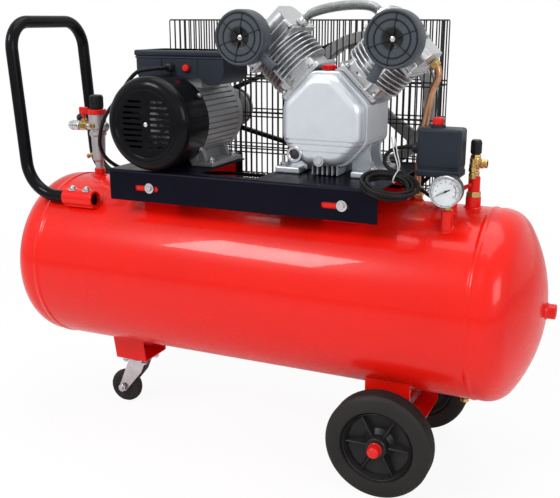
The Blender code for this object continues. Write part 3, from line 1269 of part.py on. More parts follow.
def build_guard():
    pitch = (PUMP_X - MOTOR_X) / GUARD_COLUMNS
    first = MOTOR_X - pitch / 2
    wires = [first + i * pitch for i in range(-12, GUARD_COLUMNS + 14)]
    wires = [x for x in wires if GUARD_LEFT + 0.6 * pitch < x < GUARD_RIGHT - 0.6 * pitch]
    across = [GUARD_LEFT, *wires, GUARD_RIGHT]
    up = sorted([GUARD_BOTTOM, *(TANK_TOP + rise for rise in GUARD_RAIL_RISES), GUARD_TOP])
    half = GUARD_WIRE / 2
    for name, y in (("guard_front", GUARD_FRONT + half), ("guard_rear", GUARD_REAR - half)):
        node(grille(name, across, up, GUARD_WIRE), "black_paint", (0, y, 0), FACING_FRONT)
    near = GUARD_FRONT + GUARD_WIRE + FIT
    far = GUARD_REAR - GUARD_WIRE - FIT

    def frame(out):
        return [(GUARD_LEFT - out, GUARD_BOTTOM - out), (GUARD_RIGHT + out, GUARD_BOTTOM - out),
                (GUARD_RIGHT + out, GUARD_TOP + out), (GUARD_LEFT - out, GUARD_TOP + out)]
    band = extruded("guard_band", [frame(half), frame(-half)], far - near)
    node(band, "black_paint", (0, (near + far) / 2, 0), FACING_FRONT)
    wide = (far - near - (GUARD_HOOPS + 1) * GUARD_WIRE) / GUARD_HOOPS
    past = 3 * GUARD_WIRE
    ties = across[::2]
    lids, ends = [], []
    for i in range(GUARD_HOOPS):
        y = near + GUARD_WIRE + i * (wide + GUARD_WIRE)
        lids += [((a + GUARD_WIRE, y, GUARD_BOTTOM - past), (b - GUARD_WIRE, y + wide, GUARD_TOP + past))
                 for a, b in zip(ties, ties[1:])]
        ends += [((GUARD_LEFT - past, y, a + GUARD_WIRE), (GUARD_RIGHT + past, y + wide, b - GUARD_WIRE))
                 for a, b in zip(up, up[1:])]
    cut(band, tool(block("guard_lid_gaps", lids)))
    cut(band, tool(block("guard_end_gaps", ends)))


def build_switch():
    low = TANK_TOP + SWITCH_RISE
    top = low + SWITCH_HEIGHT
    body = block("pressure_switch", [((SWITCH_LEFT, SWITCH_FRONT, low), (SWITCH_RIGHT, SWITCH_REAR, top))])
    node(body, "black_plastic")
    soften(body, SWITCH_EDGE, 2)
    middle = (SWITCH_FRONT + SWITCH_REAR) / 2
    gland = rod("cord_gland", CORD_GLAND_RADIUS, CORD_GLAND_LENGTH + 0.002, 14)
    join(body, tool(gland, (SWITCH_LEFT - CORD_GLAND_LENGTH / 2 + 0.001, middle,
                            TANK_TOP + CORD_GLAND_RISE), ALONG_X))
    cut(body, tool(rod("knob_hole", KNOB_STEM + RUN, 0.060, 12), (KNOB_X, middle, top)))
    knob = turned("switch_knob", [
        (0, KNOB_LIFT + KNOB_HEIGHT), (0.8 * KNOB_RADIUS, KNOB_LIFT + KNOB_HEIGHT),
        (KNOB_RADIUS, KNOB_LIFT + KNOB_HEIGHT - 0.003), (KNOB_RADIUS, KNOB_LIFT), (KNOB_STEM, KNOB_LIFT),
        (KNOB_STEM, -0.020), (0, -0.020)], 12)
    node(knob, "red_plastic", (KNOB_X, middle, top))


def build_gauge():
    z = TANK_TOP + GAUGE_RISE
    depth = GAUGE_REAR - GAUGE_FRONT
    r = GAUGE_RADIUS
    floor = depth - GAUGE_DISH
    case = turned("gauge", [(0, floor - 0.003), (0.0021, floor - 0.003), (0.0021, floor), (r - 0.003, floor),
                            (r - 0.003, depth), (r, depth - 0.001), (r, 0.004), (r - 0.004, 0), (0, 0)], 16)
    node(case, "black_plastic", (GAUGE_X, GAUGE_REAR, z), FACING_FRONT)
    low = TANK_TOP + GAUGE_POST_RISE + FIT
    top = z - 0.4 * r
    join(case, tool(rod("gauge_stem", GAUGE_STEM, top - low, 11), (GAUGE_X, GAUGE_POST_Y, (low + top) / 2)))
    dial = GAUGE_FRONT + GAUGE_DISH
    outline = [(-0.0012, -0.006), (0.0012, -0.006), (0.0012, 0), (0.0004, NEEDLE_LENGTH),
               (-0.0004, NEEDLE_LENGTH),
               (-0.0012, 0)]
    hinge = pivot("needle_pivot", (GAUGE_X, dial - 0.0016, z))
    needle = extruded("gauge_needle", [outline], 0.0008)
    node(needle, "black_plastic", (0, 0, 0), (math.pi / 2, NEEDLE_ANGLE, 0), hinge)
    join(needle, tool(rod("needle_hub", 0.0015, 0.0042, 12), (0, 0.0009, 0), ALONG_Y, hinge))


def build_outlet():
    low = TANK_TOP + RISER_PIPE_RISE + FIT
    body = turned("outlet_valve", [
        (0, OUTLET_HEIGHT), (0.7 * OUTLET_RADIUS, OUTLET_HEIGHT), (OUTLET_RADIUS, 0.8 * OUTLET_HEIGHT),
        (OUTLET_RADIUS, 0.2 * OUTLET_HEIGHT), (0.75 * OUTLET_RADIUS, 0), (0, 0)], 12)
    node(body, "brass", (RISER_X, 0, low))
    spout_z = low + 0.45 * OUTLET_HEIGHT
    join(body, tool(rod("outlet_spout", 0.75 * OUTLET_RADIUS, OUTLET_REACH, 10),
                    (RISER_X + OUTLET_REACH / 2, 0, spout_z), ALONG_X))
    cut(body,
        tool(rod("outlet_bore", OUTLET_BORE, OUTLET_REACH, 8), (RISER_X + OUTLET_REACH, 0, spout_z), ALONG_X))
    r = OUTLET_KNOB_RADIUS
    h = OUTLET_KNOB_HEIGHT
    knob = turned("outlet_knob", [(0, h), (0.75 * r, h), (r, 0.85 * h), (r, 0), (0, 0)], 16)
    node(knob, "black_plastic", (RISER_X, 0, low + OUTLET_HEIGHT + FIT))
    stub_z = low + 0.35 * OUTLET_HEIGHT
    join(body,
         tool(rod("safety_stub", 0.5 * OUTLET_RADIUS, SAFETY_SIDE, 8), (RISER_X, -SAFETY_SIDE / 2, stub_z),
                    ALONG_Y))
    valve = turned("safety_valve", [
        (0, SAFETY_HEIGHT), (0.6 * SAFETY_RADIUS, SAFETY_HEIGHT), (0.6 * SAFETY_RADIUS, 0.75 * SAFETY_HEIGHT),
        (SAFETY_RADIUS, 0.75 * SAFETY_HEIGHT), (SAFETY_RADIUS, 0), (0, 0)], 10)
    join(body, tool(valve, (RISER_X, -SAFETY_SIDE, stub_z - 0.6 * SAFETY_HEIGHT)))


def build_regulator():
    low = TANK_TOP + REGULATOR_POST_RISE + FIT
    waist = TANK_TOP + REGULATOR_WAIST
    top = TANK_TOP + REGULATOR_SHOULDER
    r, foot = REGULATOR_TOP_RADIUS, REGULATOR_FOOT_RADIUS
    body = turned("regulator_body", [
        (0, top), (r - 0.002, top), (r, top - 0.004), (r, waist + 0.012), (r - 0.003, waist + 0.008),
        (r - 0.0005, waist + 0.006), (r - 0.0005, waist - 0.002), (r - 0.004, waist - 0.004),
        (foot, TANK_TOP + REGULATOR_FOOT), (foot - 0.003, TANK_TOP + REGULATOR_FOOT - 0.002),
        (foot - 0.003, low),
        (0, low)], 12)
    node(body, "aluminium", (REGULATOR_X, 0, 0))
    z = TANK_TOP + COUPLER_RISE
    end = REGULATOR_X - COUPLER_REACH
    sleeve = COUPLER_REACH - TAP_REACH - 0.010
    join(body, tool(rod("coupler_pipe", 0.7 * COUPLER_RADIUS, COUPLER_REACH - 0.004, 10),
                    (REGULATOR_X - COUPLER_REACH / 2, 0, z), ALONG_X))
    join(body, tool(rod("coupler_sleeve", COUPLER_RADIUS, sleeve, 12), (end + sleeve / 2, 0, z), ALONG_X))
    cut(body, tool(rod("coupler_bore", COUPLER_BORE, 0.030, 8), (end, 0, z), ALONG_X))
    tap_x = REGULATOR_X - TAP_REACH
    stem_top = 0.7 * COUPLER_RADIUS + TAP_HEIGHT
    cut(body, tool(rod("tap_hole", TAP_STEM + RUN, 0.012, 10), (tap_x, 0, z + 0.7 * COUPLER_RADIUS)))
    tap = rod("tap_handle", TAP_STEM, TAP_HEIGHT + 0.004, 10)
    node(tap, "red_plastic", (tap_x, 0, z + 0.7 * COUPLER_RADIUS + TAP_HEIGHT / 2 - 0.002))
    wing = block("tap_wing", [((-TAP_WING / 2, -0.003, -0.010), (TAP_WING / 2, 0.003, 0.002))])
    join(tap, tool(wing, (tap_x, 0, z + stem_top)))
    k, h = REGULATOR_KNOB_RADIUS, REGULATOR_KNOB_HEIGHT
    knob = turned("regulator_knob", [(0, h), (k - 0.003, h), (k, h - 0.003), (k, 0), (0, 0)], 20)
    node(knob, "black_plastic", (REGULATOR_X, 0, top + FIT))


def coil_axes():
    """Axes of the coil, which hangs lower at its right end and along its front."""
    along = Vector((math.cos(COIL_TILT), 0, -math.sin(COIL_TILT)))
    back = Vector((0, 1, 0))
    across = back * math.cos(COIL_LEAN) + along.cross(back) * math.sin(COIL_LEAN)
    return along, across, along.cross(across)


def coil_path():
    """Loops wound inwards, one layer down in half a turn, then outwards, with straight ends."""
    along, across, up = coil_axes()
    centre = Vector((COIL_X, COIL_Y, COIL_Z))
    turns_in, turns_over, turns_out = 2.0, 0.5, 1.5
    total = turns_in + turns_over + turns_out
    points = []
    for i in range(int(total * COIL_POINTS) + 1):
        t = i / COIL_POINTS
        inward = min(t, turns_in)
        outward = max(0, t - turns_in - turns_over)
        drop = max(0, min(1, (t - turns_in) / turns_over))
        radius = COIL_RADIUS - COIL_PITCH * (inward - outward)
        level = COIL_LAYER * (0.5 - (3 - 2 * drop) * drop ** 2)
        angle = math.pi / 2 - 2 * math.pi * t
        points.append(centre + along * radius * math.cos(angle) + across * radius * math.sin(angle)
                      + up * level)
    straight = 2 * CORD_RADIUS
    points.insert(0, points[0] - along * straight)
    return points + [points[-1] + along * straight]


def lead_path(goal, heading):
    """From the gland, straight out and round one easy bend to the coil."""
    start = Vector((SWITCH_LEFT - CORD_GLAND_LENGTH - FIT, (SWITCH_FRONT + SWITCH_REAR) / 2,
                    TANK_TOP + CORD_GLAND_RISE))
    away = Vector((-1, 0, 0))
    return [start] + swing(start + away * LEAD_STRAIGHT, away * LEAD_PULL_OUT,
                           goal, heading * LEAD_PULL_IN, 16)


def build_cord():
    path = coil_path()
    heading = (path[1] - path[0]).normalized()
    node(tube("cord_lead", lead_path(path[0] - heading * FIT, heading), CORD_RADIUS, 2), "rubber")
    end, way = path[-1], (path[-1] - path[-2]).normalized()
    plug_z = TANK_TOP + PLUG_RISE
    back = Vector((PLUG_X, PLUG_Y - FIT, plug_z))
    tail = swing(end, way * TAIL_PULL_OUT, back - Vector((0, 2 * CORD_RADIUS, 0)),
                 Vector((0, TAIL_PULL_IN, 0)), 11) + [back]
    node(tube("cord_coil", path + tail[1:], CORD_RADIUS, 1), "rubber")
    body = turned("plug", [(0, PLUG_LENGTH), (PLUG_RADIUS, PLUG_LENGTH), (PLUG_RADIUS, 0.45 * PLUG_LENGTH),
                           (0.55 * PLUG_RADIUS, 0), (0, 0)], 12)
    node(body, "black_plastic", (PLUG_X, PLUG_Y, plug_z), ALONG_Y)
    for side in (-1, 1):
        join(body, tool(rod(f"plug_pin_{side}", PLUG_PIN_RADIUS, PLUG_PIN_LENGTH + 0.002, 10),
                        (PLUG_X + side * PLUG_PIN_SPREAD,
                         PLUG_Y + PLUG_LENGTH + PLUG_PIN_LENGTH / 2 - 0.001, plug_z),
                        ALONG_Y))
    least = min((a - b).length for i, a in enumerate(path)
                for b in path[i + COIL_POINTS // 2:]) - 2 * CORD_RADIUS
    print(f"least gap between cord loops {1000 * least:.2f} mm")


build_tank()
build_feet()
build_handle()
build_plate()
build_wheels()
build_caster()
build_motor()
build_crankcase()
build_crank()
build_belt()
build_cylinder(-1, "left")
build_cylinder(1, "right")
build_filter(-1, "left", SNORKEL_LEFT_ANGLE)
build_filter(1, "right", SNORKEL_RIGHT_ANGLE)
build_pipes()
build_guard()
build_switch()
build_gauge()
build_outlet()
build_regulator()
build_cord()
bpy.context.view_layer.update()
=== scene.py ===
"""Looks of a belt-driven two-cylinder air compressor on a wheeled horizontal tank.

Metres, +Z up, +X along the tank towards the wheels, -Y towards the front. Sizes are measured
from the middle of the tank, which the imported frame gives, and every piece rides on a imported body.
"""
import json
import math

import bmesh
import bpy
from mathutils import Matrix, Vector


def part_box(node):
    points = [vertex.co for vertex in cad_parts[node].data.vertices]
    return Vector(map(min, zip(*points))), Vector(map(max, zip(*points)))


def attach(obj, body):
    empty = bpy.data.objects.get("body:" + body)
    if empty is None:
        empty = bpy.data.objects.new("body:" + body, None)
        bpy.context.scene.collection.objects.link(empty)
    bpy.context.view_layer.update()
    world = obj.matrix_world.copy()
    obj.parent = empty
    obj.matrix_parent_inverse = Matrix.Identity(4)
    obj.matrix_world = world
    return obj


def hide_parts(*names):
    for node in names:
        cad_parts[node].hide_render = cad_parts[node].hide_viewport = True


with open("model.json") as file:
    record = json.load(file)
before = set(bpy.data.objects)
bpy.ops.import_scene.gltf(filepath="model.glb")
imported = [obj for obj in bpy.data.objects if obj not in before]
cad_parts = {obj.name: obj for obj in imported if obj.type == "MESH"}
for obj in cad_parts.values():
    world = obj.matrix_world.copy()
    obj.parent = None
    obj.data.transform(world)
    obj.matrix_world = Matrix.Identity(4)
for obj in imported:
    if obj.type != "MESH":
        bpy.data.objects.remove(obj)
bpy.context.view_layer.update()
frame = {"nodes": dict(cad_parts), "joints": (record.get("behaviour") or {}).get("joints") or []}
NODES = frame["nodes"]
JOINT = {j["name"]: Vector(j["pos_m"]) for j in frame["joints"] if "pos_m" in j}

# Camera of the photograph
CAMERA_PLACE = (0.6935, -1.5250, 0.8391)
CAMERA_AZIMUTH = math.radians(24.14)
CAMERA_PITCH = math.radians(15.03)
CAMERA_LENS = 55.14

# Sizes
FIT = 0.0003
TANK_RADIUS = 0.175
TANK_AXIS_Z = 0.340
TANK_TOP = TANK_AXIS_Z + TANK_RADIUS
TANK_HALF = 0.440
HEAD_FLANGE = 0.015
HEAD_KNUCKLE = 0.054
HEAD_CROWN = 0.280
CROWN_OFFSET = math.sqrt((HEAD_CROWN - HEAD_KNUCKLE) ** 2 - (TANK_RADIUS - HEAD_KNUCKLE) ** 2)
HEAD_END = TANK_HALF + FIT + HEAD_FLANGE + HEAD_CROWN - CROWN_OFFSET
PORT_RADIUS = 0.0135
PORT_REACH = 0.0165
DRAIN_X = 0.410
PLATE_LEFT, PLATE_RIGHT = -0.264, 0.2745
PLATE_HALF_DEPTH = 0.150
PLATE_TOP = TANK_TOP + 0.0464
PLATE_SHEET = 0.003
FLANGE_HEIGHT = 0.059
FOOT_X = (-0.183, 0.197)
SLOT_LENGTH, SLOT_HEIGHT, SLOT_DROP = 0.052, 0.011, 0.033
NOTCH_LEFT, NOTCH_RIGHT, NOTCH_FRONT, NOTCH_STEP, NOTCH_REAR_LEFT = -0.083, 0.040, -0.128, 0.068, -0.128
SOCKET_LEFT, SOCKET_RIGHT = -0.397, -0.3257
SOCKET_RADIUS = 0.0175
SOCKET_REACH = TANK_RADIUS + SOCKET_RADIUS - 0.003
SOCKET_ANGLE = math.radians(38)
SOCKET_Y = SOCKET_REACH * math.sin(SOCKET_ANGLE)
SOCKET_Z = TANK_AXIS_Z + SOCKET_REACH * math.cos(SOCKET_ANGLE)
HANDLE_RADIUS = 0.0125
HANDLE_BEND_X, HANDLE_BEND = -0.422, 0.070
HANDLE_LEAN = math.radians(4.0)
HANDLE_HEIGHT, HANDLE_CORNER = 0.833, 0.055
WHEEL_WIDTH, RIM_RADIUS = 0.0476, 0.066
AXLE_RADIUS = 0.010
CAP_RADIUS, CAP_LENGTH = 0.0125, 0.014
CASTER_WIDTH = 0.024
HOUSING_FRONT, HOUSING_REAR, SHIELD_REAR = -0.083, 0.070, 0.105
RIB_RADIUS, GROOVE_RADIUS = 0.079, 0.0738
RIB_COUNT = 44
COWL_RADIUS, COWL_FRONT, COWL_REAR = 0.0875, -0.166, -0.078
BOX_LEFT, BOX_RIGHT, BOX_FRONT, BOX_REAR = -0.247, -0.056, -0.068, 0.032
RESET_X, LEAD_GLAND_X, LEAD_GLAND_REACH = -0.1345, -0.170, 0.01275
BELT_Y, BELT_WIDTH, BELT_THICKNESS = 0.192, 0.012, 0.009
PULLEY_RADIUS, FLYWHEEL_RADIUS, FLYWHEEL_WIDTH = 0.042, 0.140, 0.034
CASE_FRONT, CASE_REAR, COVER_FRONT = -0.060, 0.062, -0.087
CASE_HALF_WIDTH, CASE_FACE, CASE_TOP_HALF, CASE_SUMP = 0.0805, 0.070, 0.025, 0.096
CASE_FOOT_HALF = 0.099
PUMP_RISE = 0.1146
SHAFT_BORE, CRANK_BORE = 0.0096, 0.0131
CYLINDER_TOP, CYLINDER_BORE, CYLINDER_FIN = 0.150, 0.0325, 0.058
CYLINDER_STAGGER = 0.0056
HEAD_TOP, HEAD_HALF_WIDTH, HEAD_HALF_DEPTH = 0.213, 0.058, 0.052
FILTER_SIDE, FILTER_UP, FILTER_RADIUS = 0.139, 0.131, 0.0485
FILTER_FRONT, FILTER_REAR = -0.125, -0.090
HOSE_RADIUS = 0.009
PIPE_RADIUS, PIPE_Y = 0.0065, 0.030
CHECK_X, CHECK_RISE = 0.293, 0.012
GUARD_LEFT, GUARD_RIGHT = -0.302, 0.291
GUARD_FRONT, GUARD_REAR = 0.1505, 0.236
GUARD_BOTTOM, GUARD_TOP = 0.502, 0.838
SWITCH_LEFT, SWITCH_RIGHT, SWITCH_FRONT, SWITCH_REAR = 0.3134, 0.390, -0.060, -0.012
SWITCH_LOW, SWITCH_TOP = 0.574, 0.658
SWITCH_Y = (SWITCH_FRONT + SWITCH_REAR) / 2
SWITCH_KNOB_X, SWITCH_POST_X = 0.3435, 0.372
SWITCH_ENTRY_X, SWITCH_ENTRY_Z = SWITCH_LEFT + 0.026, SWITCH_LOW + 0.040
GAUGE_X, GAUGE_Z, GAUGE_RADIUS = 0.378, 0.560, 0.0275
GAUGE_FRONT, GAUGE_REAR, GAUGE_POST_Y = -0.112, -0.078, -0.084
RISER_X, REGULATOR_X = 0.404, -0.395
GAUGE_POST_RISE, REGULATOR_POST_RISE = 0.0095, 0.0155
CORD_RADIUS = 0.0034
LEAD_RADIUS = 0.0038

CRANK, MOTOR = JOINT["crank_spin"], JOINT["motor_spin"]
PUMP_X, PUMP_Z = 0.143, CRANK.z
MOTOR_X, MOTOR_Z = -0.170, MOTOR.z
MIDDLE = Vector((CRANK.x - PUMP_X, CRANK.y, 0))
UP, RIGHT, BACK = Vector((0, 0, 1)), Vector((1, 0, 0)), Vector((0, 1, 0))
FRONT, LEFT, DOWN = -BACK, -RIGHT, -UP
# Lays an outline's own X and Y along Y and Z, and its depth along X
SIDEWAYS = Matrix(((0, 0, 1, 0), (1, 0, 0, 0), (0, 1, 0, 0), (0, 0, 0, 1)))


def spot(x, y, z):
    """A place measured from the middle of the tank on the floor."""
    return MIDDLE + Vector((x, y, z))


def tank_height(y):
    """Height of the tank's skin at a distance from its middle line."""
    return TANK_AXIS_Z + math.sqrt(TANK_RADIUS ** 2 - y ** 2)


# Shapes

def placed(at, axis, spin=0.0):
    """The move that lays a shape's own Z along an axis at a place."""
    turn = Vector(axis).to_track_quat("Z", "Y").to_matrix().to_4x4()
    return Matrix.Translation(at) @ turn @ Matrix.Rotation(spin, 4, "Z")


def spun(profile, at=(0, 0, 0), axis=UP, steps=48, ring=False):
    """A turned shape from (radius, height) points, closed into a ring where asked."""
    work = bmesh.new()
    points = [work.verts.new((r, 0, h)) for r, h in profile]
    edges = [work.edges.new(pair) for pair in zip(points, points[1:])]
    if ring:
        edges.append(work.edges.new((points[-1], points[0])))
    bmesh.ops.spin(
        work, geom=points + edges, cent=(0, 0, 0), axis=(0, 0, 1), angle=2 * math.pi, steps=steps,
        use_merge=True
    )
    bmesh.ops.remove_doubles(work, verts=work.verts, dist=1e-6)
    bmesh.ops.recalc_face_normals(work, faces=work.faces)
    work.transform(placed(at, axis))
    return work


def prism(outline, depth, move=None):
    """A flat outline in its own XY plane, drawn out along its own Z."""
    work = bmesh.new()
    face = work.faces.new([work.verts.new((x, y, 0)) for x, y in outline])
    out = bmesh.ops.extrude_face_region(work, geom=[face])["geom"]
    bmesh.ops.translate(work, verts=[v for v in out if isinstance(v, bmesh.types.BMVert)], vec=(0, 0, depth))
    bmesh.ops.recalc_face_normals(work, faces=work.faces)
    if move:
        work.transform(move)
    return work


def standing(outline, front, rear):
    """An outline of X and Z places, drawn out from front to rear."""
    move = Matrix.Translation(MIDDLE + BACK * rear) @ Matrix.Rotation(math.pi / 2, 4, "X")
    return prism(outline, rear - front, move)


def rounded(work, width, segments, angle=35):
    """Rounds the edges whose faces meet at more than the given angle."""
    sharp = [e for e in work.edges if e.is_manifold and e.calc_face_angle(0) > math.radians(angle)]
    bmesh.ops.bevel(
        work, geom=sharp, offset=width, offset_type="OFFSET", segments=segments, profile=0.5,
        affect="EDGES", material=-1, clamp_overlap=True
    )
    return work


def brick(low, high, edge=0.0, segments=2):
    """A block between two corners, with round edges where asked."""
    low, high = Vector(low), Vector(high)
    size = high - low
    work = bmesh.new()
    bmesh.ops.create_cube(
        work, size=1, matrix=Matrix.Translation((low + high) / 2) @ Matrix.Diagonal((*size, 1))
    )
    return rounded(work, edge, segments) if edge else work


def slab(low, high, edge=0.0, segments=2):
    """A block between two places measured from the middle of the tank."""
    return brick(spot(*low), spot(*high), edge, segments)


def rod(start, end, radius, sides):
    """A straight bar between two places."""
    start, end = Vector(start), Vector(end)
    work = bmesh.new()
    bmesh.ops.create_cone(
        work, cap_ends=True, segments=sides, radius1=radius, radius2=radius, depth=(end - start).length,
        matrix=placed((start + end) / 2, end - start)
    )
    return work


def merged(*shapes):
    """Several shapes as one."""
    work = bmesh.new()
    for shape in shapes:
        mesh = bpy.data.meshes.new("shape")
        shape.to_mesh(mesh)
        shape.free()
        work.from_mesh(mesh)
        bpy.data.meshes.remove(mesh)
    return work


def carved(work, cutter):
    """One shape with another cut out of it."""
    things = []
    for shape in (work, cutter):
        mesh = bpy.data.meshes.new("carving")
        shape.to_mesh(mesh)
        shape.free()
        things.append(bpy.data.objects.new("carving", mesh))
        bpy.context.scene.collection.objects.link(things[-1])
    cut = things[0].modifiers.new("cut", "BOOLEAN")
    cut.object = things[1]
    cut.operation = "DIFFERENCE"
    bpy.context.view_layer.update()
    solid = things[0].evaluated_get(bpy.context.evaluated_depsgraph_get())
    out = bmesh.new()
    out.from_mesh(solid.to_mesh())
    solid.to_mesh_clear()
    for thing in things:
        mesh = thing.data
        bpy.data.objects.remove(thing)
        bpy.data.meshes.remove(mesh)
    return out


def swept(path, radius, sides, sizes=None, loop=False):
    """A round tube along a path, with its own size at each point where given."""
    path = [Vector(p) for p in path]
    if loop:
        path = path + path[:2]
    ways = []
    for i in range(len(path)):
        before, after = path[max(i - 1, 0)], path[min(i + 1, len(path) - 1)]
        ways.append((after - before).normalized())
    if loop:
        ways[0] = ways[-2]
        path, ways = path[:-1], ways[:-1]
    turn = ways[0].to_track_quat("Z", "Y")
    work = bmesh.new()
    move = None
    for i, (point, way) in enumerate(zip(path, ways)):
        if i:
            turn = ways[i - 1].rotation_difference(way) @ turn
        size = sizes[i % len(sizes)] if sizes else 1
        here = Matrix.Translation(point) @ turn.to_matrix().to_4x4() @ Matrix.Scale(size, 4)
        if move is None:
            bmesh.ops.create_circle(work, segments=sides, radius=radius, matrix=here)
            edges = list(work.edges)
        else:
            out = bmesh.ops.extrude_edge_only(work, edges=edges)["geom"]
            edges = [e for e in out if isinstance(e, bmesh.types.BMEdge)]
            bmesh.ops.transform(
                work, matrix=here @ move.inverted(),
                verts=[v for v in out if isinstance(v, bmesh.types.BMVert)]
            )
        move = here
    if loop:
        bmesh.ops.remove_doubles(work, verts=work.verts, dist=radius * 0.05)
    else:
        bmesh.ops.holes_fill(work, edges=[e for e in work.edges if e.is_boundary], sides=0)
    bmesh.ops.recalc_face_normals(work, faces=work.faces)
    return work


def lofted(rings):
    """A skin over rings of points, closed at both ends."""
    work = bmesh.new()
    loops = []
    for ring in rings:
        points = [work.verts.new(p) for p in ring]
        loops.append([work.edges.new(pair) for pair in zip(points, points[1:] + points[:1])])
    for one, two in zip(loops, loops[1:]):
        bmesh.ops.bridge_loops(work, edges=one + two)
    bmesh.ops.holes_fill(work, edges=loops[0] + loops[-1], sides=0)
    bmesh.ops.recalc_face_normals(work, faces=work.faces)
    return work


def smooth(knots, count):
    """Evenly spread points on the smooth curve through the knots."""
    knots = [Vector(k) for k in knots]
    ends = [knots[0] * 2 - knots[1], *knots, knots[-1] * 2 - knots[-2]]
    dense = []
    for i in range(1, len(ends) - 2):
        a, b, c, d = ends[i - 1:i + 3]
        for k in range(24):
            t = k / 24
            dense.append(0.5 * (
                2 * b + (c - a) * t + (2 * a - 5 * b + 4 * c - d) * t ** 2 + (3 * b - a - 3 * c + d) * t ** 3
            ))
    dense.append(knots[-1])
    return spread(dense, count)


def spread(dense, count):
    """Evenly spaced points along a line of close points."""
    lengths = [0.0]
    for a, b in zip(dense, dense[1:]):
        lengths.append(lengths[-1] + (b - a).length)
    points, j = [], 0
    for i in range(count):
        goal = lengths[-1] * i / (count - 1)
        while j < len(dense) - 2 and lengths[j + 1] < goal:
            j += 1
        points.append(dense[j].lerp(
            dense[j + 1], (goal - lengths[j]) / max(lengths[j + 1] - lengths[j], 1e-9)
        ))
    return points


def arc(middle, radius, start, end, steps):
    """Points on part of a circle."""
    return [(
        middle[0] + radius * math.cos(start + (end - start) * i / steps),
        middle[1] + radius * math.sin(start + (end - start) * i / steps)
    ) for i in range(steps + 1)]


def round_slot(left, right, middle, radius, steps):
    """The outline of a level slot with round ends."""
    ring = arc((right - radius, middle), radius, -math.pi / 2, math.pi / 2, steps)
    return ring + arc((left + radius, middle), radius, math.pi / 2, 1.5 * math.pi, steps)


def filleted(corners, radius, steps=7):
    """An outline with each corner rounded."""
    points = []
    for before, corner, after in zip(corners[-1:] + corners[:-1], corners, corners[1:] + corners[:1]):
        here = Vector(corner)
        one, two = (Vector(before) - here).normalized(), (Vector(after) - here).normalized()
        half = one.angle(two) / 2
        middle = here + (one + two).normalized() * radius / math.sin(half)
        start = here + one * radius / math.tan(half) - middle
        turn = start.angle_signed(here + two * radius / math.tan(half) - middle)
        points += [tuple(middle + Matrix.Rotation(-turn * i / steps, 2) @ start) for i in range(steps + 1)]
    return points


def around(count, shape, at, axis):
    """Copies of a shape, each made afresh by a function, set round an axis."""
    turned = []
    for i in range(count):
        work = shape()
        work.transform(placed(at, axis, 2 * math.pi * i / count))
        turned.append(work)
    return merged(*turned)


def hexagon(at, axis, radius, height):
    """A six-sided nut that stands on a place."""
    work = rod((0, 0, 0), (0, 0, height), radius, 6)
    rounded(work, 0.0006, 1)
    work.transform(placed(at, axis))
    return work


def bolt(at, axis, size, stud=True):
    """Washer, six-sided head and the end of the stud."""
    axis = Vector(axis).normalized()
    at = Vector(at)
    parts = [spun(
        [(0, 0), (1.5 * size, 0), (1.5 * size, 0.0012), (1.35 * size, 0.0015), (0, 0.0015)], at, axis, 20
    ), hexagon(at + axis * 0.0015, axis, size, 0.75 * size)]
    if stud:
        r, low, high = 0.55 * size, 0.6 * size, 1.35 * size
        parts.append(spun(
            [(0, low), (r, low), (r, high - 0.0008), (r - 0.0008, high), (0, high)], at, axis, 14
        ))
    return merged(*parts)


def piece(name, work, finish, body="chassis", replaces=(), sharp=34):
    """A finished shape as an object with its finish, riding on a body."""
    mesh = bpy.data.meshes.new(name)
    work.to_mesh(mesh)
    work.free()
    mesh.shade_smooth()
    mesh.set_sharp_from_angle(angle=math.radians(sharp))
    mesh.materials.append(finish)
    thing = bpy.data.objects.new(name, mesh)
    bpy.context.scene.collection.objects.link(thing)
    thing.modifiers.new("even_shading", "WEIGHTED_NORMAL").keep_sharp = True
    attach(thing, body)
    if replaces:
        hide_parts(*([replaces] if isinstance(replaces, str) else replaces))
    return thing


def kept(node, finish, edge=0.0):
    """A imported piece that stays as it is, with a better finish and softened edges."""
    thing = NODES[node]
    thing.data.materials.clear()
    thing.data.materials.append(finish)
    if edge:
        weld = thing.modifiers.new("weld", "WELD")
        weld.merge_threshold = 0.00001
        soften = thing.modifiers.new("soften", "BEVEL")
        soften.width = edge
        soften.segments = 2
        soften.limit_method = "ANGLE"
        soften.angle_limit = math.radians(40)


# Finishes

COLOUR, NUMBER, VECTOR = "NodeSocketColor", "NodeSocketFloat", "NodeSocketVector"


def node_group(name, inputs, outputs):
    """A new group of shading nodes, with its start and its end."""
    tree = bpy.data.node_groups.new(name, "ShaderNodeTree")
    for label, kind, value in inputs:
        tree.interface.new_socket(label, in_out="INPUT", socket_type=kind).default_value = value
    for label, kind in outputs:
        tree.interface.new_socket(label, in_out="OUTPUT", socket_type=kind)
    return tree, tree.nodes.new("NodeGroupInput"), tree.nodes.new("NodeGroupOutput")


def feed(tree, socket, value):
    """Fills a socket with another node's output, a colour or a plain value."""
    if isinstance(value, bpy.types.NodeSocket):
        tree.links.new(value, socket)
    elif socket.type == "RGBA":
        socket.default_value = (*value, 1)
    else:
        socket.default_value = value


def math_node(tree, operation, first, second):
    made = tree.nodes.new("ShaderNodeMath")
    made.operation = operation
    feed(tree, made.inputs[0], first)
    feed(tree, made.inputs[1], second)
    return made.outputs[0]


def mapped(tree, value, low, high, new_low, new_high):
    made = tree.nodes.new("ShaderNodeMapRange")
    for socket, given in zip(made.inputs, (value, low, high, new_low, new_high)):
        feed(tree, socket, given)
    return made.outputs[0]


def blended(tree, share, first, second):
    made = tree.nodes.new("ShaderNodeMix")
    made.data_type = "RGBA"
    for socket, value in ((0, share), (6, first), (7, second)):
        feed(tree, made.inputs[socket], value)
    return made.outputs[2]


